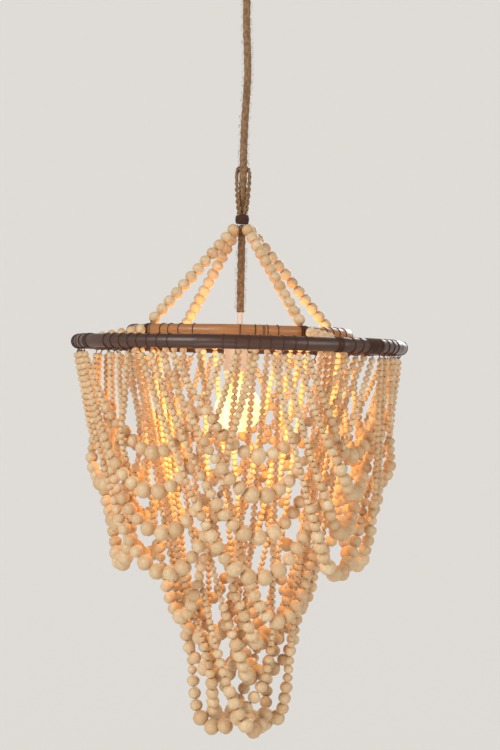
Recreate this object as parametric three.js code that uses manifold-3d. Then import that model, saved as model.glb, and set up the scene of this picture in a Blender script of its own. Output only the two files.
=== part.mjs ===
// Beaded chandelier: two cane hoops hung from a flex, with swags of wooden beads round a lamp.
// Millimetres, +Z up. The origin is the middle of the ceiling bracket's top face.
// Angles round the hoops run from the front (-Y), positive towards the right (+X).

import * as THREE from "three";
import { mergeVertices } from "three/addons/utils/BufferGeometryUtils.js";
import Module from "manifold-3d";

const wasm = await Module();
wasm.setup();

// Clearances
const TOUCH_GAP = 0.4;
const CUT_OVERRUN = 2;
const MERGE_DISTANCE = 0.0001;

// Ceiling fitting
const BRACKET_LENGTH = 92;
const BRACKET_WIDTH = 18;
const BRACKET_THICKNESS = 2;
const BRACKET_LEG = 15;
const BRACKET_SCREW_SPACING = 50;
const BRACKET_SCREW_HOLE = 5;
const BRACKET_WIRE_HOLE = 10;
const BRACKET_WIRE_HOLE_OFFSET = 13;
const CANOPY_DIAMETER = 100;
const CANOPY_HEIGHT = 40;
const CANOPY_RIM_HEIGHT = 22;
const CANOPY_FLOOR_DIAMETER = 30;
const CANOPY_WALL = 1.6;
const CANOPY_BELL_STEPS = 5;
const CANOPY_SCREW_DEPTH = 9;
const CANOPY_SCREW_DIAMETER = 4;
const CANOPY_SCREW_LENGTH = 9;
const CANOPY_SCREW_HEAD_DIAMETER = 8;
const CANOPY_SCREW_HEAD_HEIGHT = 3;
const TERMINAL_LENGTH = 26;
const TERMINAL_WIDTH = 15;
const TERMINAL_HEIGHT = 11;
const TERMINAL_BEVEL = 1;
const TERMINAL_BORE = 3.4;
const TERMINAL_PITCH = 8;

// Cord grip and strain relief
const GRIP_NECK_DIAMETER = 12;
const GRIP_NECK_HEIGHT = 8;
const GRIP_FLANGE_DIAMETER = 22;
const GRIP_FLANGE_HEIGHT = 9;
const GRIP_BEVEL = 1.5;
const RELIEF_LENGTH = 30;
const RELIEF_TOP_DIAMETER = 17;
const RELIEF_FOOT_DIAMETER = 12.6;
const RELIEF_NOSE_DIAMETER = 6;
const RELIEF_NOSE_HEIGHT = 3;
const RELIEF_CUP_DEPTH = 1.4;
const SWING_GAP = 0.8;

// Flex
const FLEX_DIAMETER = 10;
const SHEATH_DIAMETER = 7.3;
const FLEX_SIDES = 10;
const FLEX_STEP = 25;

// The hanging flex's route from the relief to the crown, as places to the right at even heights
const FLEX_BOW = [0, 0, 0.8, 2.2, 3, 2.4, 1.2, 0.3, 0, 0, 0, 0, 0];

// Heights above the outer hoop's middle plane, which hangs this far below the ceiling
const OUTER_HOOP_DEPTH = 530;
const LOOP_TOP_HEIGHT = 231;
const CROWN_TOP_HEIGHT = 167;
const CROWN_FOOT_HEIGHT = 155;
const BRAID_END_HEIGHT = 42;
const HOLDER_TOP_HEIGHT = 25;
const INNER_HOOP_HEIGHT = 15;

// Hoops
const OUTER_HOOP_DIAMETER = 413;
const OUTER_CANE_DIAMETER = 17;
const INNER_HOOP_DIAMETER = 275;
const INNER_CANE_DIAMETER = 15;
const HOOP_SIDES = 8;
const OUTER_HOOP_STEPS = 48;
const INNER_HOOP_STEPS = 40;

// Crown and hanging loop
const CROWN_DIAMETER = 19;
const CROWN_WAIST_DIAMETER = 17;
const HANGER_HEAD_DIAMETER = 14;
const LOOP_STRAND_DIAMETER = 4.6;
const LOOP_SIDES = 6;
const LOOP_FOOT_ANGLE = 28;
const LOOP_ARCH_STEPS = 6;
const BORE_CLEARANCE = 0.7;

// Beads, and the thread that shows where a string meets a hoop
const BEAD_LARGE = 20;
const BEAD_MEDIUM = 16;
const BEAD_HANGER = 15;
const BEAD_SMALL = 12;
const BEAD_TINY = 8;
const THREAD_DIAMETER = 2;
const THREAD_SHOWN = 6;
const STRING_SIDES = 5;

// Straight strings between the crown and the hoops
const KNOT_ANGLE = 33.7;
const KNOTS = 4;
const HANGER_BEADS = 12;
const KNOT_TURNS = [0, 3, 0, -3.3];
const SPOKE_FOOT_TURNS = [0, 1.8, 0, 0];
const SPOKE_TURNS = [1, -11, 0, 1.5];

// Where these strings are tied round the canes, counted up and over from a cane's outer side
const HANGER_FOOT_RISE = 90;
const SPOKE_FOOT_RISE = 10;
const SPOKE_END_RISES = [135, 155, 135, 135];

// Outer tier: groups of four nested swags round the outer hoop, shortest swag first
const OUTER_TIER = {
  groups: 8,
  firstAngle: 8.7,
  halfAngles: [31.6, 35.5, 39.4, 43.3],
  drops: [134, 181, 231, 281],
  gathers: [0, 0, 0, 0],
  mediumBeads: 3,
  smallBeads: 3,
  stations: 19,
  crossingGroups: [1],
};

// Inner tier: the same round the inner hoop, centred on the hanger knots. The bottom of each longer
// swag is gathered towards the axis by the length in gathers.
const INNER_TIER = {
  groups: 4,
  firstAngle: KNOT_ANGLE,
  halfAngles: [56.8, 64.3, 70.4, 75.7],
  drops: [343, 376, 422, 488],
  gathers: [0, 8, 16, 26],
  mediumBeads: 3,
  smallBeads: 4,
  stations: 25,
  crossingGroups: [1, 2],
};

// The frame hangs a little off level, so the swags lean against its axis by this share of a drop
const SWAG_LEAN_SHARE = 0.0216;

// How the crossing strings are laid against each other, and how stations crowd towards a swag's bottom
const SETTLE_PASSES = 1200;
const SETTLE_GAP = 2.4;
const SETTLE_FIRST_LEAN = 2;
const SETTLE_RATE_SHARE = 0.35;
const SMOOTH_RATE_SHARE = 0.02;
const EVEN_STATION_SHARE = 0.6;

// How the pull in a hanging string is searched for, in the weight units of its beads
const PULL_LIMITS = [10, 10000000];
const PULL_PASSES = 60;

// Lampholder and bulb
const HOLDER_DIAMETER = 40;
const HOLDER_CAP_HEIGHT = 20;
const HOLDER_SHELL_HEIGHT = 40;
const HOLDER_WALL = 2.2;
const HOLDER_SEAM_STEP = 1.2;
const HOLDER_DOME_STEPS = 4;
const BULB_CAP_DIAMETER = 25.6;
const SCREW_CLEARANCE = 0.7;
const INSERT_WALL = 1;
const INSERT_DIAMETER = BULB_CAP_DIAMETER + 2 * (SCREW_CLEARANCE + INSERT_WALL);
const INSERT_HEIGHT = 27;
const BULB_CAP_HEIGHT = 24;
const BULB_CAP_WALL = 1;
const BULB_CONTACT_DIAMETER = 9;
const BULB_CONTACT_HEIGHT = 2.5;
const BULB_DIAMETER = 60;
const BULB_LENGTH = 86;
const NECK_CLEARANCE = 0.8;
const BULB_NECK_DIAMETER = BULB_CAP_DIAMETER - 2 * (BULB_CAP_WALL + NECK_CLEARANCE);
const BULB_GLASS_WALL = 1;
const BULB_ROUND_END_ANGLE = 35;
const BULB_ROUND_STEPS = 7;
const BULB_SEAT_DEPTH = 5;
const STEM_DIAMETER = 10;
const STEM_LENGTH = 52;
const FILAMENT_DIAMETER = 2.4;

// Round pieces
const TURNED_SIDES = 24;
const SMALL_SIDES = 16;

const HALF_TURN = Math.PI;
const QUARTER_TURN = Math.PI / 2;

const ringZ = (height) => height - OUTER_HOOP_DEPTH;
const radians = (degrees) => THREE.MathUtils.degToRad(degrees);
const outwardAt = (degrees) => new THREE.Vector3(Math.sin(radians(degrees)), -Math.cos(radians(degrees)), 0);

const finish = (color, roughness, metalness = 0) =>
  new THREE.MeshStandardMaterial({ color, roughness, metalness });

const MATERIALS = {
  wood: finish(0xd9b27c, 0.55),
  darkCane: finish(0x6d4526, 0.6),
  paleCane: finish(0xb98a55, 0.55),
  jute: finish(0xa9875a, 0.95),
  thread: finish(0x6a4a2c, 0.9),
  sheath: finish(0xece6da, 0.4),
  plastic: finish(0xe9e4d8, 0.45),
  rubber: finish(0x8d7350, 0.8),
  paint: finish(0xe6e1d6, 0.4),
  steel: finish(0xb9bcc0, 0.35, 1),
  brass: finish(0xc9a45a, 0.3, 1),
  glass: finish(0xf6e7c4, 0.05),
};

const chandelier = new THREE.Group();

// Helpers for closed solids

function closedGeometry(source) {
  const bare = new THREE.BufferGeometry();
  bare.setAttribute("position", source.getAttribute("position").clone());
  if (source.index) bare.setIndex(source.index.clone());
  const merged = mergeVertices(bare, MERGE_DISTANCE);
  const corners = merged.index.array;
  const kept = [];
  for (let i = 0; i < corners.length; i += 3) {
    const [a, b, c] = [corners[i], corners[i + 1], corners[i + 2]];
    if (a !== b && b !== c && c !== a) kept.push(a, b, c);
  }
  const at = merged.getAttribute("position");
  const corner = (index) => new THREE.Vector3().fromBufferAttribute(at, index);
  let volume = 0;
  for (let i = 0; i < kept.length; i += 3) {
    volume += corner(kept[i]).dot(corner(kept[i + 1]).cross(corner(kept[i + 2])));
  }
  merged.setIndex(volume < 0 ? kept.reverse() : kept);
  return merged;
}

function toSolid(geometry) {
  const closed = closedGeometry(geometry);
  const mesh = new wasm.Mesh({
    numProp: 3,
    vertProperties: new Float32Array(closed.getAttribute("position").array),
    triVerts: new Uint32Array(closed.index.array),
  });
  return new wasm.Manifold(mesh);
}

function fromSolid(solid) {
  const mesh = solid.getMesh();
  const geometry = new THREE.BufferGeometry();
  geometry.setAttribute("position", new THREE.BufferAttribute(mesh.vertProperties, 3));
  geometry.setIndex(new THREE.BufferAttribute(mesh.triVerts, 1));
  return geometry;
}

function cut(geometry, ...tools) {
  const whole = tools.reduce((left, tool) => left.subtract(toSolid(tool)), toSolid(geometry));
  return fromSolid(whole);
}

function add(name, geometry, material) {
  const closed = closedGeometry(geometry);
  closed.computeVertexNormals();
  const mesh = new THREE.Mesh(closed, material);
  mesh.name = name;
  chandelier.add(mesh);
  return mesh;
}

// A turned piece: its outline is [radius, height] pairs, and its axis is Z
function turned(outline, sides = TURNED_SIDES) {
  const points = outline.map(([radius, height]) => new THREE.Vector2(radius, height));
  return new THREE.LatheGeometry(points, sides).rotateX(QUARTER_TURN);
}

// The points of an arc in an outline, from one angle to another in degrees
function arc(centreRadius, centreHeight, radius, from, to, steps) {
  return Array.from({ length: steps + 1 }, (_, step) => {
    const angle = radians(from + ((to - from) * step) / steps);
    return [centreRadius + radius * Math.cos(angle), centreHeight + radius * Math.sin(angle)];
  });
}

function rodAlongX(diameter, length, sides = SMALL_SIDES) {
  return new THREE.CylinderGeometry(diameter / 2, diameter / 2, length, sides).rotateZ(QUARTER_TURN);
}

function rodAlongZ(diameter, length, sides = SMALL_SIDES) {
  return new THREE.CylinderGeometry(diameter / 2, diameter / 2, length, sides).rotateX(QUARTER_TURN);
}

function circle(diameter, sides) {
  const outline = Array.from({ length: sides }, (_, side) => {
    const angle = (2 * HALF_TURN * side) / sides;
    return new THREE.Vector2((diameter / 2) * Math.cos(angle), (diameter / 2) * Math.sin(angle));
  });
  return new THREE.Shape(outline);
}

function tube(route, diameter, sides, step) {
  const path = new THREE.CatmullRomCurve3(route);
  const steps = Math.max(1, Math.round(path.getLength() / step));
  return new THREE.ExtrudeGeometry(circle(diameter, sides), { steps, extrudePath: path });
}

// A string: a turned form, one ring for each station, bent along the stations' places
function strung(stations, sideways) {
  const last = stations.length - 1;
  const outline = stations.map(({ radius }, number) => new THREE.Vector2(radius, number));
  outline.unshift(new THREE.Vector2(0, 0));
  outline.push(new THREE.Vector2(0, last));
  const form = new THREE.LatheGeometry(outline, STRING_SIDES);
  const frames = stations.map(({ at }, number) => {
    const before = stations[Math.max(number - 1, 0)].at;
    const after = stations[Math.min(number + 1, last)].at;
    const along = after.clone().sub(before).normalize();
    const across = new THREE.Vector3().crossVectors(along, sideways).normalize();
    return { at, across, up: new THREE.Vector3().crossVectors(across, along) };
  });
  const place = form.getAttribute("position");
  for (let i = 0; i < place.count; i += 1) {
    const { at, across, up } = frames[Math.round(place.getY(i))];
    const point = at.clone().addScaledVector(across, place.getX(i)).addScaledVector(up, place.getZ(i));
    place.setXYZ(i, point.x, point.y, point.z);
  }
  return form;
}

// Ceiling fitting

function makeBracket() {
  const half = BRACKET_LENGTH / 2;
  const outline = new THREE.Shape([
    new THREE.Vector2(-half, 0),
    new THREE.Vector2(-half, -BRACKET_LEG),
    new THREE.Vector2(-half + BRACKET_THICKNESS, -BRACKET_LEG),
    new THREE.Vector2(-half + BRACKET_THICKNESS, -BRACKET_THICKNESS),
    new THREE.Vector2(half - BRACKET_THICKNESS, -BRACKET_THICKNESS),
    new THREE.Vector2(half - BRACKET_THICKNESS, -BRACKET_LEG),
    new THREE.Vector2(half, -BRACKET_LEG),
    new THREE.Vector2(half, 0),
  ]);
  const strap = new THREE.ExtrudeGeometry(outline, { depth: BRACKET_WIDTH, bevelEnabled: false });
  strap.rotateX(QUARTER_TURN).translate(0, BRACKET_WIDTH / 2, 0);
  const depth = BRACKET_THICKNESS + 2 * CUT_OVERRUN;
  const screwHoles = [-1, 1].map((side) => {
    const hole = rodAlongZ(BRACKET_SCREW_HOLE, depth);
    return hole.translate((side * BRACKET_SCREW_SPACING) / 2, 0, -BRACKET_THICKNESS / 2);
  });
  const wireHole = rodAlongZ(BRACKET_WIRE_HOLE, depth);
  wireHole.translate(BRACKET_WIRE_HOLE_OFFSET, 0, -BRACKET_THICKNESS / 2);
  const legHoles = rodAlongX(CANOPY_SCREW_DIAMETER + 2 * TOUCH_GAP, BRACKET_LENGTH + 2 * CUT_OVERRUN);
  legHoles.translate(0, 0, -CANOPY_SCREW_DEPTH);
  return cut(strap, ...screwHoles, wireHole, legHoles);
}

function makeCanopy() {
  const outer = CANOPY_DIAMETER / 2;
  const floor = CANOPY_FLOOR_DIAMETER / 2;
  const bore = GRIP_NECK_DIAMETER / 2 + TOUCH_GAP;
  const shoulder = CANOPY_HEIGHT - CANOPY_RIM_HEIGHT;
  const bell = (inset) => Array.from({ length: CANOPY_BELL_STEPS + 1 }, (_, step) => {
    const angle = (QUARTER_TURN * step) / CANOPY_BELL_STEPS;
    return [
      floor + (outer - floor - inset) * Math.cos(angle),
      -CANOPY_RIM_HEIGHT - (shoulder - inset) * Math.sin(angle),
    ];
  });
  const outline = [
    [outer, -TOUCH_GAP],
    ...bell(0),
    [bore, -CANOPY_HEIGHT],
    [bore, -CANOPY_HEIGHT + CANOPY_WALL],
    ...bell(CANOPY_WALL).reverse(),
    [outer - CANOPY_WALL, -TOUCH_GAP],
    [outer, -TOUCH_GAP],
  ];
  const screwHoles = rodAlongX(CANOPY_SCREW_DIAMETER + 2 * TOUCH_GAP, CANOPY_DIAMETER + 2 * CUT_OVERRUN);
  return cut(turned(outline), screwHoles.translate(0, 0, -CANOPY_SCREW_DEPTH));
}

// A pan-head screw that points inwards from the canopy's side
function makeCanopyScrew(side) {
  const shank = CANOPY_SCREW_DIAMETER / 2;
  const head = CANOPY_SCREW_HEAD_DIAMETER / 2;
  const outline = [
    [0, -CANOPY_SCREW_LENGTH],
    [shank - TOUCH_GAP, -CANOPY_SCREW_LENGTH],
    [shank, -CANOPY_SCREW_LENGTH + TOUCH_GAP],
    [shank, 0],
    [head, 0],
    [head, CANOPY_SCREW_HEAD_HEIGHT / 2],
    [head / 2, CANOPY_SCREW_HEAD_HEIGHT],
    [0, CANOPY_SCREW_HEAD_HEIGHT],
  ];
  const slot = new THREE.BoxGeometry(
    CANOPY_SCREW_HEAD_DIAMETER + 2 * CUT_OVERRUN, CANOPY_SCREW_HEAD_HEIGHT / 3, CANOPY_SCREW_HEAD_HEIGHT);
  slot.translate(0, 0, CANOPY_SCREW_HEAD_HEIGHT);
  const screw = cut(turned(outline, SMALL_SIDES), slot);
  screw.rotateY(side * QUARTER_TURN);
  return screw.translate(side * (CANOPY_DIAMETER / 2 + TOUCH_GAP), 0, -CANOPY_SCREW_DEPTH);
}

function makeTerminalBlock() {
  const width = TERMINAL_LENGTH - 2 * TERMINAL_BEVEL;
  const depth = TERMINAL_WIDTH - 2 * TERMINAL_BEVEL;
  const outline = new THREE.Shape([
    new THREE.Vector2(-width / 2, -depth / 2),
    new THREE.Vector2(width / 2, -depth / 2),
    new THREE.Vector2(width / 2, depth / 2),
    new THREE.Vector2(-width / 2, depth / 2),
  ]);
  const block = new THREE.ExtrudeGeometry(outline, {
    depth: TERMINAL_HEIGHT - 2 * TERMINAL_BEVEL,
    bevelThickness: TERMINAL_BEVEL,
    bevelSize: TERMINAL_BEVEL,
    bevelSegments: 1,
  });
  const top = -BRACKET_THICKNESS - TOUCH_GAP;
  block.translate(0, 0, top - TERMINAL_HEIGHT + TERMINAL_BEVEL);
  const bores = [-1, 0, 1].map((place) => {
    const bore = new THREE.CylinderGeometry(
      TERMINAL_BORE / 2, TERMINAL_BORE / 2, TERMINAL_WIDTH + 2 * CUT_OVERRUN, SMALL_SIDES);
    return bore.translate(place * TERMINAL_PITCH, 0, top - TERMINAL_HEIGHT / 2);
  });
  return cut(block, ...bores);
}

const GRIP_FACE = -CANOPY_HEIGHT - TOUCH_GAP;
const GRIP_FOOT = GRIP_FACE - GRIP_FLANGE_HEIGHT;

function makeCordGrip() {
  const bore = SHEATH_DIAMETER / 2 + TOUCH_GAP;
  const neck = GRIP_NECK_DIAMETER / 2;
  const flange = GRIP_FLANGE_DIAMETER / 2;
  return turned([
    [bore, GRIP_FOOT],
    [flange - GRIP_BEVEL, GRIP_FOOT],
    [flange, GRIP_FOOT + GRIP_BEVEL],
    [flange, GRIP_FACE],
    [neck, GRIP_FACE],
    [neck, GRIP_FACE + GRIP_NECK_HEIGHT],
    [bore, GRIP_FACE + GRIP_NECK_HEIGHT],
    [bore, GRIP_FOOT],
  ], SMALL_SIDES);
}

function makeFlexTail() {
  const top = -BRACKET_THICKNESS - 2 * TOUCH_GAP - TERMINAL_HEIGHT;
  const length = top - GRIP_FOOT;
  return rodAlongZ(SHEATH_DIAMETER, length, FLEX_SIDES).translate(0, 0, top - length / 2);
}

// The relief pivots on its nose under the grip, and the flex pivots in the cup of its foot
const RELIEF_TOP = GRIP_FOOT - SWING_GAP;
const RELIEF_FOOT = RELIEF_TOP - RELIEF_LENGTH;
const FLEX_TOP = RELIEF_FOOT - TOUCH_GAP;

function makeStrainRelief() {
  const nose = RELIEF_NOSE_DIAMETER / 2;
  const foot = RELIEF_FOOT_DIAMETER / 2;
  return turned([
    [0, RELIEF_TOP],
    [nose, RELIEF_TOP],
    [RELIEF_TOP_DIAMETER / 2, RELIEF_TOP - RELIEF_NOSE_HEIGHT],
    [foot, RELIEF_FOOT + RELIEF_CUP_DEPTH],
    [FLEX_DIAMETER / 2 + TOUCH_GAP, RELIEF_FOOT + RELIEF_CUP_DEPTH],
    [nose, RELIEF_FOOT],
    [0, RELIEF_FOOT],
  ], SMALL_SIDES);
}

// The hanging stretch of flex, which bows a little before it runs straight through the loop
const CROWN_FOOT = ringZ(CROWN_FOOT_HEIGHT);

function makeFlexUpper() {
  const drop = (CROWN_FOOT - FLEX_TOP) / (FLEX_BOW.length - 1);
  const route = FLEX_BOW.map((bow, step) => new THREE.Vector3(bow, 0, FLEX_TOP + drop * step));
  return tube(route, FLEX_DIAMETER, FLEX_SIDES, FLEX_STEP);
}

// Crown and loop

function makeCrown() {
  const bore = FLEX_DIAMETER / 2 + BORE_CLEARANCE;
  const outer = CROWN_DIAMETER / 2;
  const waist = CROWN_WAIST_DIAMETER / 2;
  const height = CROWN_TOP_HEIGHT - CROWN_FOOT_HEIGHT;
  return turned([
    [bore, CROWN_FOOT],
    [waist, CROWN_FOOT],
    [outer, CROWN_FOOT + height / 4],
    [outer, CROWN_FOOT + (3 * height) / 4],
    [waist, CROWN_FOOT + height],
    [bore, CROWN_FOOT + height],
    [bore, CROWN_FOOT],
  ], SMALL_SIDES);
}

// Two braided strands rise from in front of the flex to its sides and meet in an arch behind it
function makeLoop() {
  const reach = FLEX_DIAMETER / 2 + BORE_CLEARANCE + LOOP_STRAND_DIAMETER / 2;
  const foot = ringZ(CROWN_TOP_HEIGHT) + 2 * TOUCH_GAP;
  const top = ringZ(LOOP_TOP_HEIGHT) - LOOP_STRAND_DIAMETER / 2;
  const bend = top - reach;
  const legShares = [0, 1 / 3, 2 / 3, 1];
  const arch = Array.from({ length: LOOP_ARCH_STEPS - 1 }, (_, step) => {
    const angle = (HALF_TURN * (step + 1)) / LOOP_ARCH_STEPS;
    const rise = reach * Math.sin(angle);
    return new THREE.Vector3(-reach * Math.cos(angle), rise, bend + rise);
  });
  const right = legShares.map((share) => {
    const outward = outwardAt(LOOP_FOOT_ANGLE + (90 - LOOP_FOOT_ANGLE) * share);
    return outward.multiplyScalar(reach).setZ(foot + (bend - foot) * share);
  });
  const left = right.map((point) => new THREE.Vector3(-point.x, point.y, point.z));
  return tube([...left, ...arch, ...right.reverse()], LOOP_STRAND_DIAMETER, LOOP_SIDES, LOOP_STRAND_DIAMETER);
}

// Hoops

function makeHoop(hoopDiameter, caneDiameter, steps, height) {
  const hoop = new THREE.TorusGeometry(hoopDiameter / 2, caneDiameter / 2, HOOP_SIDES, steps);
  return hoop.rotateZ(radians(KNOT_ANGLE)).translate(0, 0, ringZ(height));
}

// A straight string of equal beads between two points, with thread showing at both ends
function makeStraightString(from, to, beads, beadDiameter) {
  const along = to.clone().sub(from);
  const spare = along.length() - beads * beadDiameter;
  along.normalize();
  const station = (distance, radius) => ({ at: from.clone().addScaledVector(along, distance), radius });
  const stations = [station(0, THREAD_DIAMETER / 2)];
  for (let bead = 0; bead < beads; bead += 1) {
    const start = spare / 2 + bead * beadDiameter;
    stations.push(station(start, bead === 0 ? THREAD_DIAMETER / 2 : beadDiameter / 4));
    stations.push(station(start + beadDiameter / 2, beadDiameter / 2));
  }
  stations.push(station(spare / 2 + beads * beadDiameter, THREAD_DIAMETER / 2));
  stations.push(station(spare + beads * beadDiameter, THREAD_DIAMETER / 2));
  return strung(stations, new THREE.Vector3(along.y, -along.x, 0).normalize());
}

function polar(radius, degrees, height) {
  return outwardAt(degrees).multiplyScalar(radius).setZ(ringZ(height));
}

// From the middle of a cane to a string's end on its surface, which the string leaves at a slant
function caneReach(caneDiameter, angle, rise, along) {
  const up = new THREE.Vector3(0, 0, Math.sin(radians(rise)));
  const reach = outwardAt(angle).multiplyScalar(Math.cos(radians(rise))).add(up);
  const slant = along.clone().cross(reach).length();
  return reach.multiplyScalar(caneDiameter / 2 + TOUCH_GAP + (THREAD_DIAMETER / 2) * slant);
}

// A hanger runs from its knot on top of the inner hoop to the underside of the crown
function makeHanger(angle) {
  const knot = polar(INNER_HOOP_DIAMETER / 2, angle, INNER_HOOP_HEIGHT);
  const head = polar(HANGER_HEAD_DIAMETER / 2, angle, CROWN_FOOT_HEIGHT);
  head.z -= TOUCH_GAP + THREAD_DIAMETER / 2;
  const along = head.clone().sub(knot).normalize();
  knot.add(caneReach(INNER_CANE_DIAMETER, angle, HANGER_FOOT_RISE, along));
  return makeStraightString(knot, head, HANGER_BEADS, BEAD_HANGER);
}

// A spoke runs from the outer side of the inner hoop to the upper inner side of the outer hoop
function makeSpoke(angle, turn, endRise) {
  const inner = polar(INNER_HOOP_DIAMETER / 2, angle, INNER_HOOP_HEIGHT);
  const outer = polar(OUTER_HOOP_DIAMETER / 2, angle + turn, 0);
  const along = outer.clone().sub(inner).normalize();
  inner.add(caneReach(INNER_CANE_DIAMETER, angle, SPOKE_FOOT_RISE, along));
  outer.add(caneReach(OUTER_CANE_DIAMETER, angle + turn, endRise, along));
  const beads = Math.floor(inner.distanceTo(outer) / BEAD_SMALL);
  return makeStraightString(inner, outer, beads, BEAD_SMALL);
}

// Swags

// Where a string is, and what it bears, some way along a stretch of equal beads that starts at start.
// Its weight for each millimetre counts as its beads' diameter squared.
function hangOn(start, length, pull) {
  const weight = start.diameter ** 2;
  const load = start.load + weight * length;
  return {
    from: start.from + length,
    load,
    x: start.x + (pull / weight) * (Math.asinh(load / pull) - Math.asinh(start.load / pull)),
    rise: start.rise + (pull / weight) * (Math.hypot(1, load / pull) - Math.hypot(1, start.load / pull)),
  };
}

// Half a string under a level pull, from its bottom to its end: the stretches, and the end's place
function hangHalf(beads, halfWidth, pull) {
  const starts = [{ from: 0, load: 0, x: 0, rise: 0, diameter: BEAD_LARGE }];
  beads.forEach(({ diameter, length }) => {
    starts.push({ ...hangOn(starts.at(-1), length, pull), diameter });
  });
  const last = starts.at(-1);
  const lean = (halfWidth - last.x) * (last.diameter ** 2 / pull) + Math.asinh(last.load / pull);
  const length = (pull * Math.sinh(lean) - last.load) / last.diameter ** 2;
  return { starts, end: hangOn(last, length, pull) };
}

// The level pull that gives a string this sag, found by halving
function findPull(beads, halfWidth, sag) {
  let [low, high] = PULL_LIMITS;
  for (let pass = 0; pass < PULL_PASSES; pass += 1) {
    const middle = Math.sqrt(low * high);
    if (hangHalf(beads, halfWidth, middle).end.rise > sag) low = middle;
    else high = middle;
  }
  return high;
}

// One swag in its own upright plane, as stations along its string from left end to right end
function hangSwag(tier, order, hoopDiameter, anchorHeight) {
  const angle = radians(tier.halfAngles[order]);
  const halfWidth = (hoopDiameter / 2) * Math.sin(angle);
  const plane = (hoopDiameter / 2) * Math.cos(angle);
  const sag = tier.drops[order] + anchorHeight;
  const gather = tier.gathers[order];
  const beads = [
    { length: ((order + 1) * BEAD_LARGE) / 2, diameter: BEAD_MEDIUM },
    { length: tier.mediumBeads * BEAD_MEDIUM, diameter: BEAD_SMALL },
    { length: tier.smallBeads * BEAD_SMALL, diameter: BEAD_TINY },
  ];
  const pull = findPull(beads, halfWidth, sag);
  const { starts, end } = hangHalf(beads, halfWidth, pull);
  const startOf = (distance) => starts.findLast(({ from }) => from <= distance);
  const beaded = Array.from({ length: tier.stations }, (_, step) => {
    const share = (2 * step) / (tier.stations - 1) - 1;
    const crowded = share * (EVEN_STATION_SHARE + (1 - EVEN_STATION_SHARE) * share ** 2);
    const radius = startOf(Math.abs(crowded) * end.from).diameter / 2;
    return { reach: crowded * (end.from - THREAD_SHOWN), radius };
  });
  const tip = (side) => ({ reach: side * end.from, radius: THREAD_DIAMETER / 2 });
  const stations = [tip(-1), ...beaded, tip(1)].map(({ reach, radius }) => {
    const distance = Math.abs(reach);
    const start = startOf(distance);
    const place = hangOn(start, distance - start.from, pull);
    const x = Math.sign(reach) * place.x;
    const below = sag - place.rise;
    return { x, below, radius, offset: -gather * (below / sag) ** 2, share: x / halfWidth };
  });
  return { plane, stations };
}

// The nearest places of two straight stretches, as shares of their lengths
function nearestShares(start, along, otherStart, otherAlong) {
  const between = start.clone().sub(otherStart);
  const [a, b, c] = [along.dot(along), along.dot(otherAlong), otherAlong.dot(otherAlong)];
  const [d, e] = [along.dot(between), otherAlong.dot(between)];
  const clamp = (value) => Math.min(Math.max(value, 0), 1);
  let share = clamp((b * e - c * d) / Math.max(a * c - b * b, Number.EPSILON));
  const otherShare = clamp((b * share + e) / c);
  share = clamp((b * otherShare - d) / a);
  return [share, otherShare];
}

// Records on both swags how far their strings must part, where one stands a turn from the other
function partStrings(left, right, leftRoute, rightRoute, leftNormal, rightNormal) {
  for (let i = 0; i + 1 < leftRoute.length; i += 1) {
    const along = leftRoute[i + 1].clone().sub(leftRoute[i]);
    for (let j = 0; j + 1 < rightRoute.length; j += 1) {
      const otherAlong = rightRoute[j + 1].clone().sub(rightRoute[j]);
      const [share, otherShare] = nearestShares(leftRoute[i], along, rightRoute[j], otherAlong);
      const apart = leftRoute[i].clone().addScaledVector(along, share);
      apart.sub(rightRoute[j]).addScaledVector(otherAlong, -otherShare);
      const distance = apart.length();
      const mix = (swag, index, part) =>
        swag.stations[index].radius * (1 - part) + swag.stations[index + 1].radius * part;
      const overlap = mix(left, i, share) + mix(right, j, otherShare) + SETTLE_GAP - distance;
      if (overlap <= 0) continue;
      const leftPush = (overlap * apart.dot(leftNormal)) / distance;
      const rightPush = (-overlap * apart.dot(rightNormal)) / distance;
      deepest(left.pushes, i, leftPush * (1 - share));
      deepest(left.pushes, i + 1, leftPush * share);
      deepest(right.pushes, j, rightPush * (1 - otherShare));
      deepest(right.pushes, j + 1, rightPush * otherShare);
    }
  }
}

function deepest(pushes, index, push) {
  if (Math.abs(push) > Math.abs(pushes[index])) pushes[index] = push;
}

function swagRoute(swag, angle) {
  const outward = outwardAt(angle);
  const rightward = new THREE.Vector3(-outward.y, outward.x, 0);
  return swag.stations.map(({ x, below, offset }) => {
    const at = outward.clone().multiplyScalar(swag.plane + offset).addScaledVector(rightward, x);
    return at.setZ(-below);
  });
}

// Lays a tier's strings against each other where they cross: stations move square to their swag's plane
function settleTier(tier, swags) {
  swags.forEach((swag) => swag.stations.forEach((station) => {
    station.offset -= SETTLE_FIRST_LEAN * Math.sin(HALF_TURN * station.share);
  }));
  for (let pass = 0; pass < SETTLE_PASSES; pass += 1) {
    swags.forEach((swag) => { swag.pushes = swag.stations.map(() => 0); });
    const routes = [0, ...tier.crossingGroups].map((step) => {
      const angle = (360 * step) / tier.groups;
      return { step, normal: outwardAt(angle), strings: swags.map((swag) => swagRoute(swag, angle)) };
    });
    for (const { step, normal, strings } of routes) {
      swags.forEach((left, leftOrder) => swags.forEach((right, rightOrder) => {
        if (step === 0 && rightOrder <= leftOrder) return;
        partStrings(left, right, routes[0].strings[leftOrder], strings[rightOrder], routes[0].normal, normal);
      }));
    }
    swags.forEach(({ stations, pushes }) => {
      const moved = stations.map(({ offset }, index) => offset + SETTLE_RATE_SHARE * pushes[index]);
      for (let index = 1; index + 1 < stations.length; index += 1) {
        const bend = moved[index + 1] + moved[index - 1] - 2 * moved[index];
        stations[index].offset = moved[index] + SMOOTH_RATE_SHARE * bend;
      }
    });
  }
}

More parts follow.
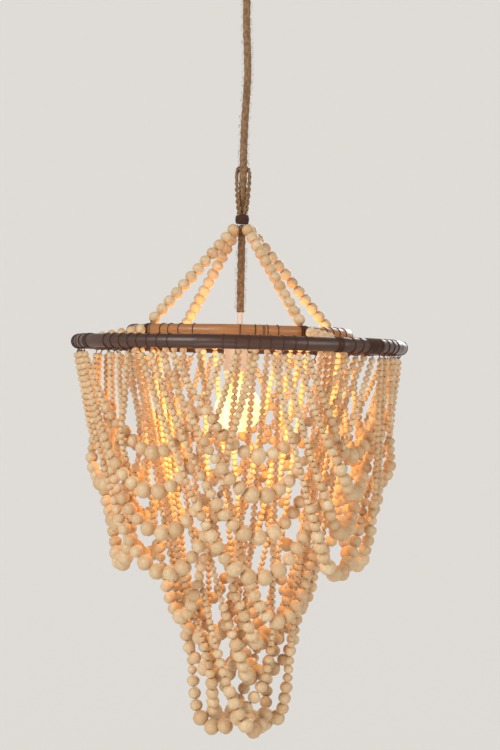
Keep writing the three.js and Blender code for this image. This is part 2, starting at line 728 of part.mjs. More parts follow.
function makeTier(tier, hoopDiameter, caneDiameter, hoopHeight) {
  const anchorHeight = hoopHeight - caneDiameter / 2 - 2 * TOUCH_GAP;
  const swags = tier.halfAngles.map((_, order) => hangSwag(tier, order, hoopDiameter, anchorHeight));
  settleTier(tier, swags);
  return Array.from({ length: tier.groups }, (_, group) => {
    const angle = tier.firstAngle + (360 * group) / tier.groups;
    const strings = swags.map((swag) => swagRoute(swag, angle).map((at, index) => {
      const leaned = new THREE.Vector3(at.x - SWAG_LEAN_SHARE * at.z, at.y, at.z + ringZ(anchorHeight));
      return { at: leaned, radius: swag.stations[index].radius };
    }));
    return { outward: outwardAt(angle), strings };
  });
}

// Two nested swags on one string, which runs on under the hoop from the first one's right end
function pairStations(shorter, longer) {
  const onward = longer.slice().reverse();
  const lowered = ({ at, radius }) => ({ at: at.clone().setZ(at.z - THREAD_DIAMETER / 2), radius });
  return [...shorter.slice(0, -1), lowered(shorter.at(-1)), lowered(onward[0]), ...onward.slice(1)];
}

// Lampholder and bulb

const HOLDER_TOP = ringZ(HOLDER_TOP_HEIGHT);
const HOLDER_SEAM = HOLDER_TOP - HOLDER_CAP_HEIGHT;
const HOLDER_FOOT = HOLDER_SEAM - HOLDER_SHELL_HEIGHT;

// The flex goes on under the crown, its braid stops and the bare sheath enters the holder
function makeFlexLower() {
  const top = CROWN_FOOT - SWING_GAP;
  const braidEnd = ringZ(BRAID_END_HEIGHT);
  const foot = HOLDER_TOP - HOLDER_WALL;
  const outer = FLEX_DIAMETER / 2;
  const inner = SHEATH_DIAMETER / 2;
  return turned([
    [0, foot],
    [inner, foot],
    [inner, braidEnd],
    [outer, braidEnd + (outer - inner)],
    [outer, (top + braidEnd) / 2],
    [outer, top],
    [0, top],
  ], FLEX_SIDES);
}

function makeHolderCap() {
  const bore = SHEATH_DIAMETER / 2 + TOUCH_GAP;
  const outer = HOLDER_DIAMETER / 2;
  const dome = (radius, height) => Array.from({ length: HOLDER_DOME_STEPS + 1 }, (_, step) => {
    const angle = (QUARTER_TURN * step) / HOLDER_DOME_STEPS;
    const rise = height - HOLDER_SEAM;
    return [bore + (radius - bore) * Math.cos(angle), HOLDER_SEAM + rise * Math.sin(angle)];
  });
  const inside = dome(outer - HOLDER_WALL, HOLDER_TOP - HOLDER_WALL);
  return turned([...dome(outer, HOLDER_TOP), ...inside.reverse(), [outer, HOLDER_SEAM]]);
}

// An open sleeve with a step at its mouth, screwed to the cap
function makeHolderShell() {
  const outer = HOLDER_DIAMETER / 2;
  const inner = outer - HOLDER_WALL;
  const top = HOLDER_SEAM - TOUCH_GAP;
  const band = HOLDER_SHELL_HEIGHT / 4;
  return turned([
    [inner, HOLDER_FOOT],
    [outer, HOLDER_FOOT],
    [outer, HOLDER_FOOT + band],
    [outer - HOLDER_SEAM_STEP, HOLDER_FOOT + band + HOLDER_SEAM_STEP],
    [outer - HOLDER_SEAM_STEP, top - band - HOLDER_SEAM_STEP],
    [outer, top - band],
    [outer, top],
    [inner, top],
    [inner, HOLDER_FOOT],
  ]);
}

// The metal screw shell that the bulb turns in, with a rim that seats it on the sleeve
const INSERT_FOOT = HOLDER_FOOT + BULB_SEAT_DEPTH;
const INSERT_TOP = INSERT_FOOT + INSERT_HEIGHT;

function makeInsert() {
  const outer = INSERT_DIAMETER / 2;
  const inner = outer - INSERT_WALL;
  const rim = HOLDER_DIAMETER / 2 - HOLDER_WALL - TOUCH_GAP;
  return turned([
    [inner, INSERT_FOOT],
    [outer, INSERT_FOOT],
    [outer, INSERT_TOP - INSERT_WALL],
    [rim, INSERT_TOP - INSERT_WALL],
    [rim, INSERT_TOP],
    [0, INSERT_TOP],
    [0, INSERT_TOP - INSERT_WALL],
    [inner, INSERT_TOP - INSERT_WALL],
    [inner, INSERT_FOOT],
  ]);
}

const BULB_CAP_TOP = INSERT_TOP - INSERT_WALL - TOUCH_GAP;
const BULB_CAP_FOOT = BULB_CAP_TOP - BULB_CONTACT_HEIGHT - BULB_CAP_HEIGHT;

function makeBulbCap() {
  const outer = BULB_CAP_DIAMETER / 2;
  const inner = outer - BULB_CAP_WALL;
  const contact = BULB_CONTACT_DIAMETER / 2;
  const shoulder = BULB_CAP_TOP - BULB_CONTACT_HEIGHT;
  return turned([
    [inner, BULB_CAP_FOOT],
    [outer, BULB_CAP_FOOT],
    [outer, shoulder - BULB_CONTACT_HEIGHT],
    [contact, shoulder],
    [contact, BULB_CAP_TOP],
    [0, BULB_CAP_TOP],
    [0, shoulder - BULB_CAP_WALL],
    [contact, shoulder - BULB_CAP_WALL],
    [inner, shoulder - BULB_CONTACT_HEIGHT - BULB_CAP_WALL],
    [inner, BULB_CAP_FOOT],
  ]);
}

// The glass envelope, open at the neck that stands inside the cap
const GLASS_TOP = BULB_CAP_FOOT + BULB_SEAT_DEPTH;
const GLASS_FOOT = GLASS_TOP - BULB_LENGTH;

function makeGlass() {
  const round = BULB_DIAMETER / 2;
  const neck = BULB_NECK_DIAMETER / 2;
  const centre = GLASS_FOOT + round;
  const envelope = (inset) => [
    ...arc(0, centre, round - inset, -90, BULB_ROUND_END_ANGLE, BULB_ROUND_STEPS),
    [neck - inset + (round - neck) / 6, BULB_CAP_FOOT - BULB_SEAT_DEPTH],
    [neck - inset, BULB_CAP_FOOT - TOUCH_GAP],
    [neck - inset, GLASS_TOP],
  ];
  return turned([...envelope(0), ...envelope(BULB_GLASS_WALL).reverse()]);
}

// The glass stem that carries the filament
function makeStem() {
  const stem = STEM_DIAMETER / 2;
  const filament = FILAMENT_DIAMETER / 2;
  const top = GLASS_TOP;
  const flare = BULB_NECK_DIAMETER / 2 - BULB_GLASS_WALL - TOUCH_GAP;
  return turned([
    [0, top - STEM_LENGTH],
    [filament, top - STEM_LENGTH],
    [filament, top - STEM_LENGTH / 2],
    [stem, top - STEM_LENGTH / 2 + stem],
    [stem, top - 2 * BULB_GLASS_WALL - stem],
    [flare, top - 2 * BULB_GLASS_WALL],
    [flare, top],
    [0, top],
  ], SMALL_SIDES);
}

// Assembly

add("ceiling_bracket", makeBracket(), MATERIALS.steel);
add("canopy", makeCanopy(), MATERIALS.paint);
add("canopy_screw_left", makeCanopyScrew(-1), MATERIALS.brass);
add("canopy_screw_right", makeCanopyScrew(1), MATERIALS.brass);
add("terminal_block", makeTerminalBlock(), MATERIALS.plastic);
add("cord_grip", makeCordGrip(), MATERIALS.plastic);
add("flex_tail", makeFlexTail(), MATERIALS.sheath);
add("strain_relief", makeStrainRelief(), MATERIALS.rubber);
add("flex_upper", makeFlexUpper(), MATERIALS.jute);
add("hanging_loop", makeLoop(), MATERIALS.jute);
add("crown_binding", makeCrown(), MATERIALS.thread);

const outerHoop = makeHoop(OUTER_HOOP_DIAMETER, OUTER_CANE_DIAMETER, OUTER_HOOP_STEPS, 0);
const innerHoop = makeHoop(INNER_HOOP_DIAMETER, INNER_CANE_DIAMETER, INNER_HOOP_STEPS, INNER_HOOP_HEIGHT);
add("outer_hoop", outerHoop, MATERIALS.darkCane);
add("inner_hoop", innerHoop, MATERIALS.paleCane);

for (let knot = 0; knot < KNOTS; knot += 1) {
  const angle = KNOT_ANGLE - (360 * knot) / KNOTS + KNOT_TURNS[knot];
  add(`hanger_string_${knot + 1}`, makeHanger(angle), MATERIALS.wood);
  const spoke = makeSpoke(angle + SPOKE_FOOT_TURNS[knot], SPOKE_TURNS[knot], SPOKE_END_RISES[knot]);
  add(`spoke_string_${knot + 1}`, spoke, MATERIALS.wood);
}

const outerGroups = makeTier(OUTER_TIER, OUTER_HOOP_DIAMETER, OUTER_CANE_DIAMETER, 0);
outerGroups.forEach(({ outward, strings }, group) => {
  const [upper, lower] = [pairStations(strings[0], strings[1]), pairStations(strings[2], strings[3])];
  add(`outer_swags_${group + 1}_upper`, strung(upper, outward), MATERIALS.wood);
  add(`outer_swags_${group + 1}_lower`, strung(lower, outward), MATERIALS.wood);
});

const innerGroups = makeTier(INNER_TIER, INNER_HOOP_DIAMETER, INNER_CANE_DIAMETER, INNER_HOOP_HEIGHT);
innerGroups.forEach(({ outward, strings }, group) => strings.forEach((stations, order) => {
  add(`inner_swag_${group + 1}_${order + 1}`, strung(stations, outward), MATERIALS.wood);
}));

add("flex_lower", makeFlexLower(), MATERIALS.jute);
add("lampholder_cap", makeHolderCap(), MATERIALS.plastic);
add("lampholder_shell", makeHolderShell(), MATERIALS.plastic);
add("lampholder_insert", makeInsert(), MATERIALS.brass);
add("bulb_cap", makeBulbCap(), MATERIALS.steel);
add("bulb_glass", makeGlass(), MATERIALS.glass);
add("bulb_stem", makeStem(), MATERIALS.glass);

export default chandelier;
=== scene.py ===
"""Beaded chandelier: strings of turned wooden beads on two cane hoops, round a lamp on a jute flex.

Metres, +Z up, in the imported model's frame: the origin is the top of the ceiling bracket, and -Y is the front.
Each string of beads follows the middle line of its own CAD solid, so it stays where the frame puts it.
"""

import math
import random
from bisect import bisect_left

import bmesh
import bpy
from bpy.props import FloatProperty, FloatVectorProperty, IntProperty, PointerProperty
from mathutils import Matrix, Quaternion, Vector


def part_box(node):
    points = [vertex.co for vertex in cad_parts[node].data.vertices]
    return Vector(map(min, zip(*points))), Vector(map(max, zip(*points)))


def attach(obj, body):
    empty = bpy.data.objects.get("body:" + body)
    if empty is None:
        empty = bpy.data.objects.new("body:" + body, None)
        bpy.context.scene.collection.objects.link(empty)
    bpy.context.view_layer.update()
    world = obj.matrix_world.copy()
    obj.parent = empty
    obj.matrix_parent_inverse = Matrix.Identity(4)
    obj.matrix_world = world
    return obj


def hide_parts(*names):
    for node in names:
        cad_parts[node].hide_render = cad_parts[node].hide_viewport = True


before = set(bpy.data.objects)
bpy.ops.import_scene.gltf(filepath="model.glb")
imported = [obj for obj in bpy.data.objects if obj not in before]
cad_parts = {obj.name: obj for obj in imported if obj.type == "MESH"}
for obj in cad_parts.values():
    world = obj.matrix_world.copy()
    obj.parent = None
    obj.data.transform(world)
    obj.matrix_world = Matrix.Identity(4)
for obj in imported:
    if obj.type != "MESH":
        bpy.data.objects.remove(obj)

bl_info = {
    "name": "Beaded Chandelier",
    "version": (1, 0, 0),
    "blender": (4, 5, 0),
    "location": "3D View > Sidebar > Chandelier",
    "description": "Builds a hanging lamp of bead swags on two cane hoops",
    "category": "Add Mesh",
}

MM = 0.001
QUARTER_TURN = math.pi / 2
FULL_TURN = 2 * math.pi
UP = Vector((0, 0, 1))
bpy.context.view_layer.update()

# The nodes that each family of strings replaces
OUTER_SWAGS = [f"outer_swags_{group}_{half}" for group in range(1, 9) for half in ("upper", "lower")]
INNER_SWAGS = [f"inner_swag_{group}_{order}" for group in range(1, 5) for order in range(1, 5)]
HANGERS = [f"hanger_string_{knot}" for knot in range(1, 5)]
SPOKES = [f"spoke_string_{knot}" for knot in range(1, 5)]

# Heights and radii of the frame's own pieces
OUTER_HOOP_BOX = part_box("outer_hoop")
INNER_HOOP_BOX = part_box("inner_hoop")
CROWN_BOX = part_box("crown_binding")
LOOP_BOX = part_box("hanging_loop")
RELIEF_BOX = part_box("strain_relief")
FLEX_UPPER_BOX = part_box("flex_upper")
FLEX_LOWER_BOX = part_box("flex_lower")
CANOPY_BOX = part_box("canopy")
GRIP_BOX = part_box("cord_grip")
CAP_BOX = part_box("lampholder_cap")
SHELL_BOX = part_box("lampholder_shell")
INSERT_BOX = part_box("lampholder_insert")
BULB_CAP_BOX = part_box("bulb_cap")
GLASS_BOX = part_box("bulb_glass")
STEM_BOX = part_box("bulb_stem")

# The end ring of a string's solid lies within this reach of any of its corners
END_RING_REACH = 2.0 * MM
# A ring of a string's solid that is thinner than this is bare thread
BARE_THREAD_RADIUS = 1.5 * MM

# Beads: the facets from hole to hole, and how breadth and length vary, as shares of the diameter
BEAD_STEPS = 6
BEAD_BREADTHS = (1.01, 1.06)
BEAD_LENGTHS = (0.96, 1.0)
THREAD_STEP = 6 * MM

# The lampholder's wall, the bore for the flex's sheath, and the bulb's rolled screw thread
HOLDER_WALL = 2.2 * MM
SHEATH_BORE = 4.05 * MM
SCREW_DEPTH = 0.45 * MM
SCREW_PITCH = 3.6 * MM
SCREW_STEPS = 6

# The hanging flex's route from the relief to the crown, as places to the right at even heights
FLEX_BOW = [0, 0, 0.8 * MM, 2.2 * MM, 3 * MM, 2.4 * MM, 1.2 * MM, 0.3 * MM, 0, 0, 0, 0, 0]
# The lower flex's end without a cover, and how finely and how unevenly the jute cover is drawn
BARE_SHEATH = 18 * MM
COVER_SIDES = 21
COVER_STEP = 1.6 * MM
COVER_LUMP = 0.22 * MM

# Lamps of the studio: place, size and power
STUDIO_LIGHTS = {
    "key_light": ((-2.3, -2.6, 0.9), 1.8, 80),
    "fill_light": ((2.7, -2.0, 0.0), 2.0, 36),
    "back_light": ((1.2, 2.8, 0.6), 1.6, 42),
    "low_light": ((-0.6, -1.6, -2.2), 1.2, 10),
}
AIR_STRENGTH = 0.42
AIM_UNDER_HOOP = 0.15
FLOOR_COVE, FLOOR_REACH, WALL_HEIGHT = 1.6, 7.5, 4.5

# Columns and rows of shader nodes
NODE_WIDTH, NODE_HEIGHT = 190, 240


def linear(red, green, blue):
    """A colour written in the 0 to 255 steps of a screen, as scene-linear values."""
    def channel(value):
        share = value / 255
        return share / 12.92 if share <= 0.04045 else ((share + 0.055) / 1.055) ** 2.4
    return channel(red), channel(green), channel(blue)


def colour_prop(name, description, *screen):
    return FloatVectorProperty(
        name=name, description=description, subtype="COLOR", size=3, min=0, max=1, default=linear(*screen))


def length_prop(name, description, millimetres):
    return FloatProperty(
        name=name, description=description, unit="LENGTH", subtype="DISTANCE", precision=4,
        min=0, default=millimetres * MM)


def angle_prop(name, description, radians):
    return FloatProperty(name=name, description=description, unit="ROTATION", default=radians, min=0)


def number_prop(name, description, number):
    return FloatProperty(name=name, description=description, default=number, min=0)


def count_prop(name, description, count):
    return IntProperty(name=name, description=description, default=count, min=0)


class BeadSettings(bpy.types.PropertyGroup):
    large: length_prop("Large bead", "Diameter of the beads at a swag's bottom", 20)
    medium: length_prop("Medium bead", "Diameter of the beads next to the large ones", 16)
    small: length_prop("Small bead", "Diameter of the beads above the medium ones", 12)
    tiny: length_prop("Tiny bead", "Diameter of the beads that run up to the hoop", 8)
    hanger: length_prop("Hanger bead", "Diameter of the beads between the crown and the inner hoop", 15)
    hole: length_prop("Hole", "Diameter of the hole through a bead", 2.6)
    thread: length_prop("Thread", "Diameter of the stringing thread", 1.3)
    thread_shown: length_prop("Thread shown", "Bare thread between a swag's last bead and the hoop", 5)
    medium_count: count_prop("Medium beads", "On each side of the large ones", 3)
    outer_small_count: count_prop("Small beads, outer", "On each side, in the outer swags", 3)
    inner_small_count: count_prop("Small beads, inner", "On each side, in the inner swags", 4)
    wobble: angle_prop("Wobble", "How far a bead sits askew on its thread", 0.09)
    wood: colour_prop("Wood", "Pale ground of the beads' wood", 243, 220, 182)
    grain: colour_prop("Grain", "Darker figure in the beads' wood", 220, 182, 132)
    pores: colour_prop("Pores", "The beads' fine dark pores", 150, 104, 62)
    heartwood: colour_prop("Heartwood", "The tan of the darkest beads", 206, 160, 108)
    thread_colour: colour_prop("Thread colour", "The waxed thread that carries the beads", 112, 74, 44)
    # Painted shade between the thread's plies, and its darker patches
    thread_shade_and_patches: colour_prop("Thread shade", "The same thread between its plies", 70, 42, 24)


class HoopSettings(bpy.types.PropertyGroup):
    swelling: length_prop("Swelling", "How far a cane's joints stand proud", 0.55)
    lashing_thread: length_prop("Lashing thread", "Diameter of the thread wound round the canes", 1.1)
    dark_cane: colour_prop("Dark cane", "Stained cane of the outer hoop", 92, 54, 32)
    dark_fibre: colour_prop("Dark fibre", "Darker fibres in the outer hoop", 46, 26, 16)
    pale_cane: colour_prop("Pale cane", "Natural cane of the inner hoop", 204, 142, 82)
    pale_fibre: colour_prop("Pale fibre", "Darker fibres in the inner hoop", 150, 92, 46)
    lashing: colour_prop("Lashing", "The dark thread wound round the hoops", 66, 36, 22)


class FlexSettings(bpy.types.PropertyGroup):
    diameter: length_prop("Flex", "Diameter of the jute-covered flex", 10)
    sheath: length_prop("Sheath", "Diameter of the bare flex that enters the lampholder", 7.3)
    pitch: length_prop("Pitch", "Length of one turn of the jute cover's twist", 34)
    ply: length_prop("Ply depth", "How deep the twist's furrows are", 0.6)
    fibre: length_prop("Fibre", "Length of the loose fibres that stand off the jute", 2.4)
    fibres: count_prop("Fibres", "Loose fibres on the upper flex", 750)
    jute: colour_prop("Jute", "The flex's and the loop's jute", 176, 134, 84)
    # Painted shade in the jute's furrows and between its plies, and its dark specks and patches
    jute_shade_and_patches: colour_prop("Jute shade", "Jute in its furrows", 112, 78, 44)
    sheath_colour: colour_prop("Sheath colour", "The flex's inner sheath", 232, 224, 208)
    rubber: colour_prop("Rubber", "The strain relief under the canopy", 128, 104, 74)


class LampSettings(bpy.types.PropertyGroup):
    paint: colour_prop("Paint", "The canopy's satin paint", 226, 219, 206)
    plastic: colour_prop("Plastic", "Lampholder and cord grip", 228, 220, 204)
    brass: colour_prop("Brass", "Screw shell and canopy screws", 201, 160, 86)
    steel: colour_prop("Steel", "Bracket and bulb cap", 178, 181, 184)
    glass: colour_prop("Glass", "The bulb's envelope", 255, 248, 232)
    glow: colour_prop("Glow", "The lit filament", 255, 176, 84)
    hot_glow: colour_prop("Hot glow", "The filament's brightest turns", 255, 214, 150)
    halo: colour_prop("Halo", "The lit envelope where the filament shines through it", 255, 222, 160)
    lamplight: colour_prop("Lamplight", "The warm light that falls on the beads", 255, 192, 118)
    glow_strength: number_prop("Glow strength", "Light of the filament", 14)
    halo_strength: number_prop("Halo strength", "Light that the lit envelope gives off", 0.35)
    lamp_power: number_prop("Lamp power", "Warm light that falls on the beads", 2.2)


class StudioSettings(bpy.types.PropertyGroup):
    camera_distance: length_prop("Camera distance", "From the chandelier's axis", 2140)
    camera_right: length_prop("Camera to the right", "How far the camera stands beside the axis", 14.3)
    camera_under_hoop: length_prop("Camera under the hoop", "How far the camera is below the outer hoop", 38.2)
    camera_roll: angle_prop("Camera roll", "The lean of the photographed frame", math.radians(1.24))
    lens: number_prop("Lens", "Focal length in millimetres on a 36 mm sensor", 80)
    floor_depth: length_prop("Floor depth", "From the ceiling bracket to the floor", 2400)
    backdrop: colour_prop("Backdrop", "The floor and the wall behind", 232, 229, 224)


class ChandelierSettings(bpy.types.PropertyGroup):
    beads: PointerProperty(type=BeadSettings)
    hoops: PointerProperty(type=HoopSettings)
    flex: PointerProperty(type=FlexSettings)
    lamp: PointerProperty(type=LampSettings)
    studio: PointerProperty(type=StudioSettings)


def settings():
    return bpy.context.scene.chandelier


# Meshes and pieces


def link_new(name, data):
    """A new object of that data, linked to the scene."""
    item = bpy.data.objects.new(name, data)
    bpy.context.scene.collection.objects.link(item)
    return item


def smooth_faces(mesh):
    mesh.polygons.foreach_set("use_smooth", [True] * len(mesh.polygons))


def new_piece(name, mesh, finish_name, body, replaces=(), sharp_angle=math.radians(40)):
    """Links a finished mesh as a piece that rides on a body and stands for its CAD nodes."""
    mesh.name = name
    piece = link_new(name, mesh)
    mesh.materials.clear()
    mesh.materials.append(finish(finish_name))
    smooth_faces(mesh)
    mesh.set_sharp_from_angle(angle=sharp_angle)
    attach(piece, body)
    if replaces:
        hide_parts(*replaces)
    return piece


def to_mesh(bm):
    mesh = bpy.data.meshes.new("shape")
    bm.to_mesh(mesh)
    bm.free()
    return mesh


def spin_round(bm, geometry, steps):
    bmesh.ops.spin(
        bm, geom=geometry, cent=(0, 0, 0), axis=UP, angle=FULL_TURN, steps=steps,
        use_merge=True, use_duplicate=False)


def lathe(outline, steps=48):
    """A turned solid round Z, from an outline of (radius, height) pairs that starts and ends on the axis or closes."""
    bm = bmesh.new()
    corners = [bm.verts.new((radius, 0, height)) for radius, height in outline]
    edges = [bm.edges.new(pair) for pair in zip(corners, corners[1:])]
    if outline[0][0] > 0:
        edges.append(bm.edges.new((corners[-1], corners[0])))
    spin_round(bm, corners + edges, steps)
    bmesh.ops.remove_doubles(bm, verts=bm.verts, dist=0.002 * MM)
    bmesh.ops.recalc_face_normals(bm, faces=bm.faces)
    return bm


def arc_points(centre, radius, start, end, steps):
    """(radius, height) pairs along an arc round centre, from one angle to another."""
    angles = [start + (end - start) * step / steps for step in range(steps + 1)]
    return [(centre[0] + radius * math.cos(angle), centre[1] + radius * math.sin(angle)) for angle in angles]


def quarter_round(inner, outer, low, high, steps):
    """(radius, height) pairs of a quarter of an ellipse, from its foot outside to its top inside."""
    return [
        (inner + (outer - inner) * x, low + (high - low) * y)
        for x, y in arc_points((0, 0), 1, 0, QUARTER_TURN, steps)]


def rounded(outline, radius, steps=3):
    """An outline with its inner corners rounded, each by an arc no longer than half of its sides."""
    points = [Vector(point) for point in outline]
    smooth = [tuple(points[0])]
    for before, corner, after in zip(points, points[1:], points[2:]):
        back, on = before - corner, after - corner
        reach = min(radius, back.length / 2, on.length / 2)
        start, end = corner + back.normalized() * reach, corner + on.normalized() * reach
        for step in range(steps + 1):
            share = step / steps
            smooth.append(tuple(start.lerp(corner, share).lerp(corner.lerp(end, share), share)))
    smooth.append(tuple(points[-1]))
    return smooth


def polar(radius, angle, height):
    return Vector((radius * math.cos(angle), radius * math.sin(angle), height))


def raise_ridges(bm, count, height_share, is_ridged):
    """Puts even ridges round a turned mesh, where is_ridged says so of a radius and a height."""
    for vert in bm.verts:
        if is_ridged(math.hypot(vert.co.x, vert.co.y), vert.co.z):
            ridge = 1 + height_share * max(0, math.cos(count * math.atan2(vert.co.y, vert.co.x)))
            vert.co.x *= ridge
            vert.co.y *= ridge


def tubes(routes, radius, resolution=1, cyclic=False, tip_share=1):
    """One mesh of round tubes along routes of points, with closed ends, each thinned evenly to a share at its tip."""
    curve = bpy.data.curves.new("tubes", "CURVE")
    curve.dimensions = "3D"
    curve.bevel_depth = radius
    curve.bevel_resolution = resolution
    curve.use_fill_caps = not cyclic
    for route in routes:
        spline = curve.splines.new("POLY")
        spline.points.add(len(route) - 1)
        spline.points.foreach_set("co", [value for point in route for value in (*point, 1)])
        spline.use_cyclic_u = cyclic
        for index, point in enumerate(spline.points):
            point.radius = 1 - (1 - tip_share) * index / (len(route) - 1)
    holder = bpy.data.objects.new("tubes", curve)
    mesh = bpy.data.meshes.new_from_object(holder)
    bpy.data.objects.remove(holder)
    bpy.data.curves.remove(curve)
    return mesh


def smooth_route(points, spacing):
    """Points every spacing or so along a smooth curve through the given ones."""
    padded = [2 * points[0] - points[1], *points, 2 * points[-1] - points[-2]]
    route = [points[0].copy()]
    for before, start, end, after in zip(padded, padded[1:], padded[2:], padded[3:]):
        steps = max(1, round((end - start).length / spacing))
        knots = [0.0]
        for first, second in ((before, start), (start, end), (end, after)):
            knots.append(knots[-1] + math.sqrt(max((second - first).length, 0.01 * MM)))
        for step in range(1, steps + 1):
            at = knots[1] + (knots[2] - knots[1]) * step / steps
            first = before.lerp(start, (at - knots[0]) / (knots[1] - knots[0]))
            second = start.lerp(end, (at - knots[1]) / (knots[2] - knots[1]))
            third = end.lerp(after, (at - knots[2]) / (knots[3] - knots[2]))
            early = first.lerp(second, (at - knots[0]) / (knots[2] - knots[0]))
            late = second.lerp(third, (at - knots[1]) / (knots[3] - knots[1]))
            route.append(early.lerp(late, (at - knots[1]) / (knots[2] - knots[1])))
    return route


class Route:
    """A smooth line that can be walked by distance."""

    def __init__(self, points, spacing=1.5 * MM):
        self.points = smooth_route(points, spacing)
        self.marks = [0.0]
        for first, second in zip(self.points, self.points[1:]):
            self.marks.append(self.marks[-1] + (second - first).length)
        self.length = self.marks[-1]

    def at(self, distance):
        """The place and the direction of the line at a distance from its start."""
        distance = min(max(distance, 0), self.length)
        index = min(max(bisect_left(self.marks, distance), 1), len(self.points) - 1)
        start, end = self.points[index - 1], self.points[index]
        stretch = self.marks[index] - self.marks[index - 1]
        return start.lerp(end, (distance - self.marks[index - 1]) / stretch), (end - start).normalized()

    def places(self, spacing):
        """Places every spacing or so from one end to the other."""
        steps = max(1, round(self.length / spacing))
        return [self.at(self.length * step / steps)[0] for step in range(steps + 1)]


# Beads and strings


def string_rings(node):
    """The middle and the radius of each ring of a string's CAD solid, from one end to the other."""
    bm = bmesh.new()
    bm.from_mesh(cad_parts[node].data)
    bmesh.ops.remove_doubles(bm, verts=bm.verts, dist=0.01 * MM)

    def layers_from(start):
        seen, layers = set(start), [list(start)]
        while layers[-1]:
            layers.append([])
            for vert in layers[-2]:
                for edge in vert.link_edges:
                    other = edge.other_vert(vert)
                    if other not in seen:
                        seen.add(other)
                        layers[-1].append(other)
        return layers[:-1]

    bm.verts.ensure_lookup_table()
    tip = layers_from([bm.verts[0]])[-1][0]
    end = [vert for vert in bm.verts if (vert.co - tip.co).length < END_RING_REACH]
    rings = []
    for layer in layers_from(end):
        if len(layer) > 1:
            middle = sum((vert.co for vert in layer), Vector()) / len(layer)
            rings.append((middle, max((vert.co - middle).length for vert in layer)))
    bm.free()
    return rings


def string_ends(node):
    rings = string_rings(node)
    return rings[0][0], rings[-1][0]


def swags_of(node):
    """The bent stretches of a string between its bare ends, each a list of ring middles."""
    rings = string_rings(node)
    bare = [index for index, (_, radius) in enumerate(rings) if radius < BARE_THREAD_RADIUS]
    return [
        [middle for middle, _ in rings[start:end + 1]]
        for start, end in zip(bare, bare[1:]) if end - start > 1]


def bead_shape(diameter, sides):
    """A drilled bead along Z of unit size, as broad over its flats as a round one."""
    lean = math.asin(settings().beads.hole / diameter)
    broad = (1 + 1 / math.cos(math.pi / sides)) / 2
    angles = [lean + (math.pi - 2 * lean) * step / BEAD_STEPS for step in range(BEAD_STEPS + 1)]
    return to_mesh(lathe([(broad * math.sin(angle) / 2, math.cos(angle) / 2) for angle in angles], sides))


def bead_shapes():
    beads = settings().beads
    coarse = {size: bead_shape(size, 10) for size in (beads.tiny, beads.small)}
    fine = {size: bead_shape(size, 12) for size in (beads.hanger, beads.medium, beads.large)}
    return {**coarse, **fine}


def place_swag(route, large_count, small_count):
    """(diameter, distance) for each bead of a swag, worked out from its middle, which an odd count's bead takes."""
    beads = settings().beads
    middle = beads.large / 2 if large_count % 2 else 0
    sizes = [beads.large] * (large_count // 2) + [beads.medium] * beads.medium_count + [beads.small] * small_count
    room = route.length / 2 - beads.thread_shown - (sum(sizes) + middle)
    tiny_count = round(room / beads.tiny)
    steps = [(size, size) for size in sizes] + [(beads.tiny, room / tiny_count)] * tiny_count
    placed = [(beads.large, route.length / 2)] if middle else []
    for side in (-1, 1):
        reach = middle
        for size, pitch in steps:
            placed.append((size, route.length / 2 + side * (reach + pitch / 2)))
            reach += pitch
    return placed


def place_even(route, diameter):
    """(diameter, distance) for as many equal beads as fill a straight string."""
    count = int(route.length / diameter)
    start = (route.length - count * diameter) / 2
    return [(diameter, start + (index + 0.5) * diameter) for index in range(count)]


def thread_beads(bm, route, placed, shapes, chance):
    """Adds a string's beads to a mesh, each turned at random, with its grain and its tone."""
    grain_layer = bm.verts.layers.float_vector["grain"]
    tone_layer = bm.verts.layers.float["tone"]
    wobble = settings().beads.wobble
    for diameter, distance in placed:
        place, along = route.at(distance)
        lean = Vector([chance.gauss(0, wobble) for _ in range(3)])
        turn = (along + lean).to_track_quat("Z", "Y") @ Quaternion(UP, chance.uniform(0, FULL_TURN))
        size = Matrix.Diagonal((chance.uniform(*BEAD_BREADTHS),) * 2 + (chance.uniform(*BEAD_LENGTHS),))
        figure = Quaternion(Vector([chance.gauss(0, 1) for _ in range(3)]).normalized(), chance.uniform(0, FULL_TURN))
        offset = Vector([chance.uniform(-1, 1) for _ in range(3)])
        tone = chance.random()
        before = len(bm.verts)
        bm.from_mesh(shapes[diameter])
        bm.verts.ensure_lookup_table()
        for vert in bm.verts[before:]:
            local = vert.co * diameter
            vert[grain_layer] = figure @ local + offset
            vert[tone_layer] = tone
            vert.co = place + turn @ (size @ local)


def bead_piece(node, strings, shapes):
    """One piece of beads that stands for a node: strings holds (route, placed beads) pairs."""
    name = f"{node}_beads"
    bm = bmesh.new()
    bm.verts.layers.float_vector.new("grain")
    bm.verts.layers.float.new("tone")
    chance = random.Random(name)
    for route, placed in strings:
        thread_beads(bm, route, placed, shapes, chance)
    bm.normal_update()
    new_piece(name, to_mesh(bm), "turned_wood", "cage", [node], sharp_angle=math.radians(70))


def thread_piece(name, routes):
    """The stringing thread of many strings."""
    new_piece(name, tubes(routes, settings().beads.thread / 2), "waxed_thread", "cage")


def string_swags(nodes, small_count, large_counts, thread_name):
    """Strings a tier's swags: large_counts gives each node's counts of large beads, from its shortest swag on."""
    shapes = bead_shapes()
    threads = []
    for node in nodes:
        routes = sorted((Route(swag) for swag in swags_of(node)), key=lambda route: route.length)
        bead_piece(
            node, [(route, place_swag(route, large, small_count)) for route, large in zip(routes, large_counts(node))],
            shapes)
        threads += [route.places(THREAD_STEP) for route in routes]
    thread_piece(thread_name, threads)


def angle_of(point):
    """The angle of a point round the axis, from the front towards the right."""
    return math.atan2(point.x, -point.y)


def cane_of(box):
    """The radius and the height of a hoop's middle line, and half its cane's thickness."""
    half_cane = (box[1].z - box[0].z) / 2
    return (box[1].x - box[0].x) / 2 - half_cane, (box[0].z + box[1].z) / 2, half_cane


